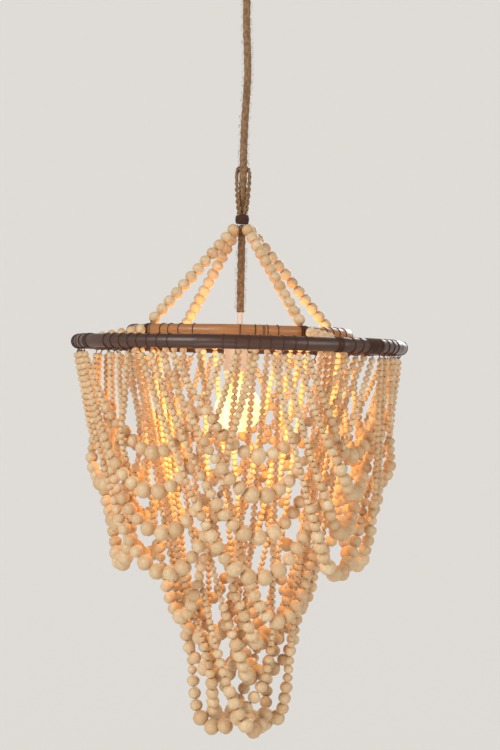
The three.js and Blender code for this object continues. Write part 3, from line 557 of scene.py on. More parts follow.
def lashing_turn(box, angle, thread_radius, chance):
    """One turn of thread round a hoop's cane, as a closed loop of points, leaning a little."""
    steps, bedded_share, most_lean = 18, 0.8, 0.1
    radius, height, half_cane = cane_of(box)
    outward = Vector((math.sin(angle), -math.cos(angle), 0))
    along = outward.cross(UP)
    lean = chance.uniform(-most_lean, most_lean)
    reach = half_cane + thread_radius * bedded_share
    points = []
    for step in range(steps):
        turn = FULL_TURN * step / steps
        across = outward * math.cos(turn) + UP * math.sin(turn)
        points.append(outward * radius + UP * height + across * reach + along * (lean * half_cane * math.cos(turn)))
    return points


# Shader nodes and groups


def set_inputs(tree, node, inputs):
    """Links a node's inputs to the sockets among the values, and writes in the other values."""
    for label, value in inputs.items():
        socket = node.inputs[label]
        if isinstance(value, bpy.types.NodeSocket):
            tree.links.new(value, socket)
        else:
            socket.default_value = (*value, 1) if socket.type == "RGBA" else value


def add_node(tree, kind, place, inputs=None, **values):
    """A shader node at a column and a row, with its own settings and its inputs."""
    node = tree.nodes.new(f"ShaderNode{kind}")
    node.location = (place[0] * NODE_WIDTH, -place[1] * NODE_HEIGHT)
    for key, value in values.items():
        setattr(node, key, value)
    set_inputs(tree, node, inputs or {})
    return node


def calculate(tree, place, operation, *values, clamp=False):
    """A calculation with sockets and numbers, as an output socket."""
    return add_node(tree, "Math", place, dict(enumerate(values)), operation=operation, use_clamp=clamp).outputs[0]


def streaks(tree, entry):
    """Drawn-out noise for grain, fibres and brushed metal: stretch squeezes it along an axis."""
    squeezed = add_node(tree, "VectorMath", (1, 0), {0: entry["Vector"], 1: entry["Stretch"]}, operation="MULTIPLY")
    noise = add_node(tree, "TexNoise", (2, 0), {
        "Vector": squeezed.outputs[0], "Scale": entry["Scale"], "Detail": 4, "Roughness": 0.6})
    centred = calculate(tree, (3, 0), "SUBTRACT", noise.outputs["Fac"], 0.5)
    contrasted = calculate(tree, (4, 0), "MULTIPLY", centred, entry["Contrast"])
    return {"Mask": calculate(tree, (5, 0), "ADD", contrasted, 0.5, clamp=True)}


def twist(tree, entry):
    """Strands wound round a cord: reads a vector of distance along, angle round and radius."""
    split = add_node(tree, "SeparateXYZ", (1, 0), {0: entry["Vector"]}).outputs
    turns = calculate(tree, (2, 0), "DIVIDE", split["X"], entry["Pitch"])
    angle = calculate(tree, (3, 1), "ADD", calculate(tree, (3, 0), "MULTIPLY", turns, FULL_TURN), split["Y"])
    around = calculate(tree, (4, 0), "MULTIPLY", angle, entry["Strands"])
    fray = add_node(tree, "TexNoise", (2, 2), {"Vector": entry["Vector"], "Scale": 420}).outputs["Fac"]
    frayed = calculate(tree, (4, 1), "ADD", around, calculate(tree, (3, 2), "MULTIPLY", fray, entry["Fray"]))
    wave = calculate(tree, (5, 0), "SINE", frayed)
    return {"Height": calculate(tree, (5, 1), "MULTIPLY_ADD", wave, 0.5, 0.5)}


def blotches(tree, entry):
    """Soft uneven tone and fine dust that most finishes share."""
    soft = add_node(tree, "TexNoise", (1, 0), {"Vector": entry["Vector"], "Scale": entry["Scale"], "Detail": 3})
    fine = add_node(tree, "TexNoise", (1, 1), {"Vector": entry["Vector"], "Scale": entry["Speck Scale"], "Detail": 2})
    specks = add_node(tree, "MapRange", (3, 1), {"Value": fine.outputs["Fac"], "From Min": 0.62, "From Max": 0.72})
    return {"Tone": soft.outputs["Fac"], "Specks": specks.outputs[0]}


# What fills each shader group, its inputs with their defaults, and its outputs
GROUPS = {
    "Streaks": (streaks, {"Vector": (0, 0, 0), "Stretch": (1, 1, 0.15), "Scale": 300, "Contrast": 2}, ["Mask"]),
    "Twist": (twist, {"Vector": (0, 0, 0), "Strands": 14, "Pitch": 0.03, "Fray": 1.2}, ["Height"]),
    "Blotches": (blotches, {"Vector": (0, 0, 0), "Scale": 40, "Speck Scale": 900}, ["Tone", "Specks"]),
}


def shader_group(name):
    """The node group of that name, built the first time that it is asked for."""
    if name in bpy.data.node_groups:
        return bpy.data.node_groups[name]
    fill, inputs, outputs = GROUPS[name]
    group = bpy.data.node_groups.new(name, "ShaderNodeTree")
    for label, value in inputs.items():
        kind = "NodeSocketVector" if isinstance(value, tuple) else "NodeSocketFloat"
        group.interface.new_socket(name=label, in_out="INPUT", socket_type=kind).default_value = value
    for label in outputs:
        group.interface.new_socket(name=label, in_out="OUTPUT", socket_type="NodeSocketFloat")
    entry, leave = group.nodes.new("NodeGroupInput"), group.nodes.new("NodeGroupOutput")
    leave.location.x = 6 * NODE_WIDTH
    set_inputs(group, leave, fill(group, entry.outputs))
    return group


def place_group(tree, name, row, vector, **values):
    """A shader group in a material, with its own values: its output socket, or a list where it has more."""
    inputs = {"Vector": vector, **{label.replace("_", " "): value for label, value in values.items()}}
    outputs = add_node(tree, "Group", (-5, row), inputs, node_tree=shader_group(name)).outputs
    return outputs[0] if len(outputs) == 1 else list(outputs)


def spread(tree, place, value, low, high):
    """A mask spread between two values, as an output socket."""
    return add_node(tree, "MapRange", place, {"Value": value, "To Min": low, "To Max": high}).outputs[0]


def lay_over(tree, row, mask, share, under, over, least=0):
    """A colour with another laid over it up to a share, where a mask says, as an output socket."""
    factor = spread(tree, (-4, row), mask, least, share)
    return add_node(tree, "Mix", (row - 3, 0), {0: factor, 6: under, 7: over}, data_type="RGBA").outputs[2]


def bump(tree, height, strength, distance):
    inputs = {"Strength": strength, "Distance": distance, "Height": height}
    return add_node(tree, "Bump", (-1, 3), inputs).outputs["Normal"]


def own_value(tree, row, name, output):
    """What each corner of a piece's mesh carries under that name."""
    return add_node(tree, "Attribute", (-7, row), attribute_name=name).outputs[output]


def object_place(tree):
    return add_node(tree, "TexCoord", (-7, 2)).outputs["Object"]


def shade(colour, share):
    return tuple(share * value for value in colour)


# Finishes: each fills a material and returns what goes into its shader


def turned_wood(tree, beads):
    """Unvarnished wood with a figure and fine pores, and a tone of its own on each bead."""
    grain, tone = own_value(tree, 0, "grain", "Vector"), own_value(tree, 1, "tone", "Fac")
    figure = place_group(tree, "Streaks", 0, grain, Stretch=(1, 0.9, 0.14), Scale=330, Contrast=2.6)
    pores = place_group(tree, "Streaks", 1, grain, Stretch=(1, 1, 0.08), Scale=1500, Contrast=5)
    figured = lay_over(tree, 0, figure, 0.7, beads.wood, beads.grain)
    toned = lay_over(tree, 1, tone, 0.55, figured, beads.heartwood)
    return {
        "Base Color": lay_over(tree, 2, pores, 0.18, toned, beads.pores),
        "Roughness": spread(tree, (-2, 3), figure, 0.42, 0.6),
        "Coat Weight": 0.12, "Coat Roughness": 0.35, "Normal": bump(tree, pores, 0.35, 0.12 * MM)}


def cane(tree, pale, dark):
    """Round cane: long fibres, dark joints and a waxy skin."""
    grain, joint = own_value(tree, 0, "grain", "Vector"), own_value(tree, 1, "joint", "Fac")
    fibres = place_group(tree, "Streaks", 0, grain, Stretch=(0.02, 1, 1), Scale=2600, Contrast=3)
    patches = place_group(tree, "Streaks", 1, grain, Stretch=(0.25, 1, 1), Scale=70, Contrast=3)
    streaked = lay_over(tree, 0, fibres, 0.75, pale, dark, least=0.1)
    patched = lay_over(tree, 1, patches, 0.45, streaked, dark)
    return {
        "Base Color": lay_over(tree, 2, joint, 1, patched, shade(dark, 0.35)),
        "Roughness": spread(tree, (-2, 3), patches, 0.32, 0.52),
        "Coat Weight": 0.25, "Coat Roughness": 0.3, "Normal": bump(tree, fibres, 0.3, 0.1 * MM)}


def twisted(tree, pale, dark, strands, pitch):
    """Twisted fibre: strands wound round a cord that carries its own along-and-round coordinates, with painted shade in
    the furrows between the strands, and speckled.
    """
    place = object_place(tree)
    wound = place_group(tree, "Twist", 0, own_value(tree, 0, "grain", "Vector"), Strands=strands, Pitch=pitch, Fray=2.4)
    hairs = place_group(tree, "Streaks", 1, place, Stretch=(1, 1, 1), Scale=430, Contrast=9)
    patches = place_group(tree, "Streaks", 2, place, Stretch=(1, 1, 0.8), Scale=290, Contrast=9)
    # Painted shade: the dark colour fills the furrows where the wound strands sink, and the hairs and the patches lay
    # pale and dark specks over it.
    haired = lay_over(tree, 1, hairs, 0.85, lay_over(tree, 0, wound, 1, dark, pale), pale)
    return {
        "Base Color": lay_over(tree, 2, patches, 0.85, haired, dark),
        "Roughness": spread(tree, (-2, 3), hairs, 0.8, 1.0),
        "Sheen Weight": 0.35, "Sheen Roughness": 0.6, "Normal": bump(tree, wound, 0.9, 0.5 * MM)}


def plied(tree, pale, dark, sheen):
    """Plied thread or loose fibre, with painted shade between its plies, and spotted along its length."""
    place = object_place(tree)
    plies = place_group(tree, "Streaks", 0, place, Stretch=(1, 1, 0.6), Scale=1300, Contrast=3.2)
    tone, _ = place_group(tree, "Blotches", 1, place, Scale=90)
    # Painted shade: the dark colour goes between the plies as their shade, and the blotches lay uneven darker patches
    # over it.
    return {
        "Base Color": lay_over(tree, 1, tone, 0.4, lay_over(tree, 0, plies, 1, dark, pale), dark),
        "Roughness": spread(tree, (-2, 3), plies, 0.65, 0.9),
        "Sheen Weight": sheen, "Normal": bump(tree, plies, 0.6, 0.2 * MM)}


def moulded(tree, colour, roughness, dust, strength=0.12, scale=70):
    """Smooth moulded or painted skin with uneven tone, dust specks and a fine texture."""
    tone, specks = place_group(tree, "Blotches", 0, object_place(tree), Scale=scale, Speck_Scale=1100)
    toned = lay_over(tree, 0, tone, 0.5, colour, shade(colour, 0.82))
    return {
        "Base Color": lay_over(tree, 1, specks, dust, toned, shade(colour, 0.55)),
        "Roughness": spread(tree, (-2, 3), tone, roughness - 0.08, roughness + 0.12),
        "Normal": bump(tree, specks, strength, 0.1 * MM)}


def brushed(tree, colour, roughness, stretch):
    """Metal with fine drawn lines and a patchy tarnish."""
    place = object_place(tree)
    lines = place_group(tree, "Streaks", 0, place, Stretch=stretch, Scale=1800, Contrast=2.4)
    tone, _ = place_group(tree, "Blotches", 1, place, Scale=120)
    lined = lay_over(tree, 0, lines, 0.6, colour, shade(colour, 0.78))
    return {
        "Base Color": lay_over(tree, 1, tone, 0.55, lined, shade(colour, 0.6)),
        "Roughness": spread(tree, (-2, 3), lines, roughness, roughness + 0.18),
        "Metallic": 1, "Normal": bump(tree, lines, 0.2, 0.05 * MM)}


def clear_glass(tree, lamp):
    """The lit bulb's thin glass, which glows the more the further it is from the neck."""
    place = object_place(tree)
    tone, specks = place_group(tree, "Blotches", 0, place, Scale=60, Speck_Scale=700)
    height = add_node(tree, "SeparateXYZ", (-6, 3), {0: place}).outputs["Z"]
    shine = add_node(tree, "MapRange", (-5, 3), {
        "Value": height, "From Min": GLASS_BOX[1].z - 10 * MM, "From Max": GLASS_BOX[0].z + 34 * MM},
        interpolation_type="SMOOTHSTEP").outputs[0]
    return {
        "Base Color": lay_over(tree, 0, tone, 0.4, lamp.glass, shade(lamp.glass, 0.93)),
        "Roughness": spread(tree, (-2, 3), specks, 0.02, 0.12), "Transmission Weight": 1, "IOR": 1.1,
        "Emission Color": lay_over(tree, 1, shine, 1, shade(lamp.glow, 0.35), lamp.halo),
        "Emission Strength": lamp.halo_strength, "Normal": bump(tree, tone, 0.05, 0.5 * MM)}


def stem_glass(tree):
    """The stem's pale glass."""
    tone, _ = place_group(tree, "Blotches", 0, object_place(tree), Scale=200)
    return {
        "Base Color": lay_over(tree, 0, tone, 1, linear(225, 228, 222), linear(190, 196, 190)),
        "Roughness": spread(tree, (-2, 3), tone, 0.05, 0.2), "Alpha": 0.45}


def lit_filament(tree, lamp):
    """The glowing coil."""
    coil = place_group(tree, "Streaks", 0, object_place(tree), Stretch=(0.3, 0.3, 1), Scale=2400, Contrast=2)
    return {
        "Emission Color": lay_over(tree, 0, coil, 1, lamp.glow, lamp.hot_glow),
        "Base Color": lamp.glow, "Roughness": 0.5, "Emission Strength": lamp.glow_strength}


def studio_surface(tree, backdrop):
    """The matt floor and wall, mostly at their own plain colour wherever they are seen."""
    rays = add_node(tree, "LightPath", (-3, 2)).outputs
    seen = calculate(tree, (-2, 2), "MAXIMUM", rays["Is Camera Ray"], rays["Is Glossy Ray"])
    seen = calculate(tree, (-1, 2), "MAXIMUM", seen, rays["Is Transmission Ray"])
    both = add_node(tree, "MixShader", (2, 0), {
        0: calculate(tree, (0, 3), "MULTIPLY", seen, 0.85),
        1: tree.nodes["Principled BSDF"].outputs[0],
        2: add_node(tree, "Emission", (0, 2), {"Color": backdrop}).outputs[0]})
    tree.links.new(both.outputs[0], tree.nodes["Material Output"].inputs["Surface"])
    return {"Base Color": backdrop, "Roughness": 0.9, "Specular IOR Level": 0.1}


def finishes():
    """What fills each material, and the values that it takes."""
    own = settings()
    hoops, flex, lamp = own.hoops, own.flex, own.lamp
    return {
        "turned_wood": (turned_wood, own.beads),
        # The second colour is painted shade between the thread's plies, and its darker patches
        "waxed_thread": (plied, own.beads.thread_colour, own.beads.thread_shade_and_patches, 0.1),
        "smoked_cane": (cane, hoops.dark_cane, hoops.dark_fibre),
        "honey_cane": (cane, hoops.pale_cane, hoops.pale_fibre),
        # Painted highlight: the plies' tops are the lashing colour half again as bright, over the lashing colour
        # between them
        "lashing_thread": (plied, shade(hoops.lashing, 1.5), hoops.lashing, 0.1),
        # The second colour of both jute finishes is painted shade in the furrows and between the plies, and their dark
        # specks and patches
        "jute_cover": (twisted, flex.jute, flex.jute_shade_and_patches, 9, flex.pitch),
        "jute_yarn": (plied, flex.jute, flex.jute_shade_and_patches, 0.4),
        "flex_sheath": (moulded, flex.sheath_colour, 0.45, 0.2),
        "relief_rubber": (moulded, flex.rubber, 0.7, 0.5, 0.3),
        "satin_paint": (moulded, lamp.paint, 0.38, 0.25, 0.12, 30),
        "cream_plastic": (moulded, lamp.plastic, 0.42, 0.3),
        "worn_brass": (brushed, lamp.brass, 0.24, (1, 1, 0.1)),
        "zinc_steel": (brushed, lamp.steel, 0.3, (0.1, 1, 1)),
        "clear_glass": (clear_glass, lamp),
        "stem_glass": (stem_glass,),
        "lit_filament": (lit_filament, lamp),
        "studio_surface": (studio_surface, own.studio.backdrop),
    }


def finish(name):
    """The material of that name, built the first time that it is asked for."""
    if name not in bpy.data.materials:
        material = bpy.data.materials.new(name)
        material.use_nodes = True
        tree = material.node_tree
        fill, *values = finishes()[name]
        set_inputs(tree, tree.nodes["Principled BSDF"], fill(tree, *values))
    return bpy.data.materials[name]


# Operators, one for each piece or group of like pieces


class CHANDELIER_OT_studio(bpy.types.Operator):
    """Set the camera, the floor with its rising backdrop, and the soft lights"""
    bl_idname = "chandelier.studio"
    bl_label = "Studio"

    def execute(self, context):
        studio = settings().studio
        hoop_height = (OUTER_HOOP_BOX[0].z + OUTER_HOOP_BOX[1].z) / 2
        self.add_camera(context, studio, hoop_height)
        self.add_floor(studio)
        aim = Vector((0, 0, hoop_height - AIM_UNDER_HOOP))
        for name, (place, size, power) in STUDIO_LIGHTS.items():
            light = bpy.data.lights.new(name, "AREA")
            light.shape = "DISK"
            light.size = size
            light.energy = power
            lamp = link_new(name, light)
            lamp.location = place
            lamp.rotation_euler = (aim - Vector(place)).to_track_quat("-Z", "Y").to_euler()
        world = bpy.data.worlds.new("studio_air")
        context.scene.world = world
        world.use_nodes = True
        set_inputs(world.node_tree, world.node_tree.nodes["Background"], {
            "Color": studio.backdrop, "Strength": AIR_STRENGTH})
        context.scene.view_settings.view_transform = "Standard"
        return {"FINISHED"}

    def add_camera(self, context, studio, hoop_height):
        camera = link_new("photo_camera", bpy.data.cameras.new("photo_camera"))
        camera.data.lens = studio.lens
        camera.data.sensor_width = 36
        place = Matrix.Translation((
            studio.camera_right, -studio.camera_distance, hoop_height - studio.camera_under_hoop))
        level = Matrix.Rotation(QUARTER_TURN, 4, "X")
        camera.matrix_world = place @ level @ Matrix.Rotation(studio.camera_roll, 4, "Z")
        context.scene.camera = camera

    def add_floor(self, studio):
        depth = studio.floor_depth
        bend = arc_points((FLOOR_REACH - FLOOR_COVE, FLOOR_COVE - depth), FLOOR_COVE, -QUARTER_TURN, 0, 12)
        mesh = to_mesh(lathe([(0, -depth), *bend, (FLOOR_REACH, WALL_HEIGHT)], 96))
        floor = link_new("studio_floor", mesh)
        mesh.materials.append(finish("studio_surface"))
        smooth_faces(mesh)


def cord_mesh(route, flex):
    """A rope-like cover: a three-lobed section that turns as it goes, a little lumpy, with its own coordinates."""
    chance = random.Random("cover")
    bm = bmesh.new()
    grain_layer = bm.verts.layers.float_vector.new("grain")
    made = bmesh.ops.create_circle(bm, cap_ends=True, segments=COVER_SIDES, radius=1)
    base = [vert.co.copy() for vert in made["verts"]]
    steps = round(route.length / COVER_STEP)
    rings = [made["verts"]]
    face = bm.faces[:][0]
    for _ in range(steps):
        grown = bmesh.ops.extrude_face_region(bm, geom=[face])["geom"]
        face = next(item for item in grown if isinstance(item, bmesh.types.BMFace))
        verts = [item for item in grown if isinstance(item, bmesh.types.BMVert)]
        rings.append([min(verts, key=lambda vert: (vert.co - co).length_squared) for co in base])
    for index, ring in enumerate(rings):
        distance = route.length * index / steps
        place, along = route.at(distance)
        turn = (-UP).rotation_difference(along)
        for co, vert in zip(base, ring):
            angle = math.atan2(co.y, co.x)
            lobe = math.cos(3 * (angle - FULL_TURN * distance / flex.pitch))
            radius = flex.diameter / 2 - flex.ply * (0.5 - 0.5 * lobe) + chance.gauss(0, COVER_LUMP)
            if index in (0, steps):
                radius /= 2
            vert.co = place + turn @ (co * radius)
            vert[grain_layer] = (distance, angle, radius)
    bmesh.ops.recalc_face_normals(bm, faces=bm.faces)
    return to_mesh(bm)


def loose_fibres(route, start, end, count, radius, length, chance):
    """Short bent routes that stand off a cord between two distances, like the hairs of jute."""
    rooted_share, most_lean, lean_at_tip, curl_size = 0.9, 0.9, 0.7, 0.5
    routes = []
    for _ in range(count):
        place, along = route.at(chance.uniform(start, end))
        side = along.orthogonal()
        side.rotate(Quaternion(along, chance.uniform(0, FULL_TURN)))
        lean = along * chance.uniform(-most_lean, most_lean)
        half = length * chance.uniform(0.4, 1) ** 2 / 2
        curl = Vector([chance.gauss(0, curl_size) for _ in range(3)])
        root = place + side * radius * rooted_share
        middle = root + (side + lean).normalized() * half
        tip = middle + (side + lean_at_tip * lean + curl).normalized() * half
        routes.append([root, middle, tip])
    return routes


def fibre_piece(name, routes, thickness, body):
    new_piece(name, tubes(routes, thickness / 2, 0, tip_share=0.25), "jute_yarn", body)


class CHANDELIER_OT_flex(bpy.types.Operator):
    """Cover the flex in twisted jute, above and below the crown, with its bare end and its relief"""
    bl_idname = "chandelier.flex"
    bl_label = "Flex"

    def execute(self, context):
        flex = settings().flex
        top, foot = FLEX_UPPER_BOX[1].z, FLEX_UPPER_BOX[0].z
        drop = (foot - top) / (len(FLEX_BOW) - 1)
        points = [Vector((bow, 0, top + drop * step)) for step, bow in enumerate(FLEX_BOW)]
        upper = self.add_cover("flex_upper_cover", points, "hanging_flex", "flex_upper", flex)
        self.add_relief()

        lower_top, lower_foot = FLEX_LOWER_BOX[1].z, FLEX_LOWER_BOX[0].z
        cover_end = lower_foot + BARE_SHEATH
        steps, radius, tucked = 6, flex.sheath / 2, MM
        points = [Vector((0, 0, lower_top + (cover_end - lower_top) * step / steps)) for step in range(steps + 1)]
        outline = [(0, lower_foot), (radius, lower_foot), (radius, cover_end + tucked), (0, cover_end + tucked)]
        sheath = new_piece(
            "flex_lower_sheath", to_mesh(lathe(rounded(outline, 0.4 * MM), 32)), "flex_sheath", "lamp_flex",
            ["flex_lower"])
        lower = self.add_cover("flex_lower_cover", points, "lamp_flex", "flex_lower", flex, [sheath])
        self.add_fibres(upper, lower, flex)
        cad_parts["flex_tail"].data.materials[0] = finish("flex_sheath")
        return {"FINISHED"}

    def add_cover(self, name, points, body, node, flex, with_pieces=()):
        route = Route(points)
        cover = new_piece(name, cord_mesh(route, flex), "jute_cover", body, [node], math.radians(60))
        route.places(8 * MM)
        return route

    def add_fibres(self, upper, lower, flex):
        """Loose fibres on both covers, clear of the relief, the loop and the hangers' top beads."""
        chance = random.Random("flex fibres")
        under_relief, over_loop, under_hangers, over_sheath = 4 * MM, 68 * MM, 30 * MM, 2 * MM
        thickness, lower_share = 0.56 * MM, 1.3
        routes = loose_fibres(
            upper, under_relief, upper.length - over_loop, flex.fibres, flex.diameter / 2, flex.fibre, chance)
        fibre_piece("flex_upper_fibres", routes, thickness, "hanging_flex")
        count = round(flex.fibres * lower.length / upper.length * lower_share)
        routes = loose_fibres(
            lower, under_hangers, lower.length - over_sheath, count, flex.diameter / 2, flex.fibre, chance)
        fibre_piece("flex_lower_fibres", routes, thickness, "lamp_flex")

    def add_relief(self):
        low, high = RELIEF_BOX[0].z, RELIEF_BOX[1].z
        widest = (RELIEF_BOX[1].x - RELIEF_BOX[0].x) / 2
        foot, nose = 6.3 * MM, 3 * MM
        ribs, groove, cup = 6, 1.1 * MM, 0.9 * MM
        shoulder = high - 3.4 * MM
        outline = [(0, high), (nose, high), (widest - 0.6 * MM, high - 2.8 * MM), (widest, shoulder)]
        pitch = (shoulder - low - 5 * MM) / ribs
        for rib in range(ribs):
            top = shoulder - (rib + 0.25) * pitch
            radius = widest + (foot - widest) * (rib + 0.5) / ribs
            outline += [(radius, top), (radius - groove, top - 0.3 * pitch), (radius - groove, top - 0.6 * pitch)]
        outline += [
            (foot + 0.5 * MM, low + 4.6 * MM), (foot, low), (5.4 * MM, low), (3.2 * MM, low + cup), (0, low + cup)]
        boot = to_mesh(lathe(rounded(outline, 0.5 * MM, 2), 40))
        new_piece("strain_relief_boot", boot, "relief_rubber", "relief", ["strain_relief"])


class CHANDELIER_OT_ceiling_fitting(bpy.types.Operator):
    """Turn the canopy and the cord grip, and finish the bracket, the screws and the terminal block"""
    bl_idname = "chandelier.ceiling_fitting"
    bl_label = "Ceiling fitting"

    def execute(self, context):
        self.add_canopy()
        self.add_grip()
        finish_names = {
            "ceiling_bracket": "zinc_steel", "canopy_screw_left": "worn_brass", "canopy_screw_right": "worn_brass",
            "terminal_block": "cream_plastic"}
        for node, finish_name in finish_names.items():
            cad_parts[node].data.materials[0] = finish(finish_name)
        return {"FINISHED"}

    def add_canopy(self):
        outer, rim, foot = CANOPY_BOX[1].x, CANOPY_BOX[1].z, CANOPY_BOX[0].z
        wall, floor_radius, shoulder = 1.6 * MM, 15 * MM, -22 * MM
        bore, lip = 6.4 * MM, 0.5 * MM

        outside = quarter_round(floor_radius, outer, shoulder, foot, 14)
        inside = quarter_round(floor_radius, outer - wall, shoulder, foot + wall, 14)
        outline = [
            (outer - lip, rim), (outer, rim - lip), *outside, (bore, foot), (bore, foot + wall),
            *inside[::-1], (outer - wall, rim)]
        new_piece("canopy_bell", to_mesh(lathe(outline, 96)), "satin_paint", "ceiling_fitting", ["canopy"])

    def add_grip(self):
        low, high, face = GRIP_BOX[0].z, GRIP_BOX[1].z, CANOPY_BOX[0].z - 0.4 * MM
        neck, flange = 6 * MM, GRIP_BOX[1].x
        grip, edge = flange - 0.6 * MM, 0.5 * MM
        bm = lathe([
            (SHEATH_BORE, low), (flange - 2 * MM, low), (grip, low + 1.4 * MM), (grip, face - edge),
            (flange - MM, face), (neck, face), (neck, high - edge), (neck - edge, high), (SHEATH_BORE, high)], 72)
        raise_ridges(
            bm, 18, 0.05, lambda radius, height: radius > flange - 0.9 * MM and height < face - 0.3 * MM)
        new_piece("cord_grip_nut", to_mesh(bm), "cream_plastic", "ceiling_fitting", ["cord_grip"])


class CHANDELIER_OT_crown(bpy.types.Operator):
    """Wind the crown's binding and plait the loop that stands over it"""
    bl_idname = "chandelier.crown"
    bl_label = "Crown and loop"

    def execute(self, context):
        self.add_binding()
        self.add_loop()
        return {"FINISHED"}

    def add_binding(self):
        low, high = CROWN_BOX[0].z, CROWN_BOX[1].z
        thread, pitch_share, steps = 0.85 * MM, 1.75, 26
        proud, swelling, unevenness = 0.1 * MM, MM, 0.04 * MM
        core = CROWN_BOX[1].x - 2.3 * MM
        bore = settings().flex.diameter / 2 + 0.3 * MM
        bm = lathe(rounded([(bore, low + MM), (core, low + MM), (core, high - MM), (bore, high - MM)], 0.6 * MM), 32)
        wound = high - low - 2 * thread
        turns = int(wound / (pitch_share * thread))
        chance = random.Random("crown binding")
        route = []
        for step in range(turns * steps + 1):
            share = step / (turns * steps)
            swell = swelling * math.sin(math.pi * share)
            radius = core + proud + swell + chance.gauss(0, unevenness)
            route.append(polar(radius, FULL_TURN * step / steps, low + thread + wound * share))
        bm.from_mesh(tubes([route], thread, 2))
        new_piece("crown_winding", to_mesh(bm), "lashing_thread", "cage", ["crown_binding"])

    def add_loop(self):
        """Each leg of the loop is a plait of three yarns that crosses over to the other leg behind the flex."""
        half_strand, yarn, sway, weave = 2.3 * MM, 1.25 * MM, 2.1 * MM, 1.2 * MM
        leg_steps, arch_steps, crossing, spacing = 5, 6, 24.6 * MM, 0.9 * MM
        reach = LOOP_BOX[1].x - half_strand + 0.3 * MM
        foot = LOOP_BOX[0].z
        bend = LOOP_BOX[1].z - half_strand - reach
        foot_angle = math.radians(28)
        leg = []
        for step in range(leg_steps + 1):
            share = step / leg_steps
            angle = foot_angle + (QUARTER_TURN - foot_angle) * share
            leg.append(Vector((reach * math.sin(angle), -reach * math.cos(angle), foot + (bend - foot) * share)))
        points = [Vector((-point.x, point.y, point.z)) for point in leg]
        for step in range(1, arch_steps):
            angle = math.pi * step / arch_steps
            points.append(Vector((-reach * math.cos(angle), reach * math.sin(angle), bend + reach * math.sin(angle))))
        route = Route(points + leg[::-1])
        steps = round(route.length / spacing)
        routes = [[] for _ in range(3)]
        for step in range(steps + 1):
            distance = route.length * step / steps
            place, along = route.at(distance)
            outward = Vector((place.x, place.y, 0)).normalized()
            outward = (outward - along * along.dot(outward)).normalized()
            across = along.cross(outward)
            for ply, line in enumerate(routes):
                phase = FULL_TURN * (distance / crossing + ply / 3)
                line.append(place + across * sway * math.sin(phase) + outward * weave * math.sin(2 * phase))
        new_piece("loop_plait", tubes(routes, yarn, 2), "jute_yarn", "cage", ["hanging_loop"])
        chance = random.Random("loop fibres")
        margin, length = 2 * MM, 2.2 * MM
        hairs = loose_fibres(route, margin, route.length - margin, 150, length, length, chance)
        fibre_piece("loop_fibres", hairs, 0.16 * MM, "cage")


def hoop_mesh(box, joints, steps, chance):
    """A cane bent into a hoop: it swells at its joints, and each joint has a fine groove."""
    sides, joint_reach, groove_reach, groove_depth, unevenness = 20, 4.5 * MM, 0.9 * MM, 1.3, 0.07 * MM
    radius, height, half_cane = cane_of(box)
    swelling = settings().hoops.swelling
    bm = bmesh.new()
    grain_layer = bm.verts.layers.float_vector.new("grain")
    joint_layer = bm.verts.layers.float.new("joint")
    made = bmesh.ops.create_circle(bm, cap_ends=False, segments=sides, radius=half_cane)
    upright = Matrix.Translation((radius, 0, height)) @ Matrix.Rotation(QUARTER_TURN, 4, "X")
    bmesh.ops.transform(bm, matrix=upright, verts=made["verts"])
    spin_round(bm, bm.verts[:] + bm.edges[:], steps)
    waves = [(chance.uniform(0, FULL_TURN), chance.randint(3, 9), chance.uniform(0.2, 1)) for _ in range(4)]
    for vert in bm.verts:
        angle = math.atan2(vert.co.y, vert.co.x)
        middle = polar(radius, angle, height)
        out = vert.co - middle
        around = math.atan2(out.z, math.hypot(vert.co.x, vert.co.y) - radius)
        lift, dark = 0.0, 0.0
        for joint in joints:
            distance = abs((angle - joint + math.pi) % FULL_TURN - math.pi) * radius
            groove = math.exp(-((distance / groove_reach) ** 2))
            lift += swelling * (math.exp(-((distance / joint_reach) ** 2)) - groove_depth * groove)
            dark = max(dark, groove)
        uneven = sum(size * math.sin(count * angle + start + 2 * around) for start, count, size in waves)
        vert.co = middle + out.normalized() * (half_cane + lift + unevenness * uneven)
        vert[grain_layer] = (angle * radius, half_cane * around, 0)
        vert[joint_layer] = dark
    bmesh.ops.recalc_face_normals(bm, faces=bm.faces)
    return to_mesh(bm)


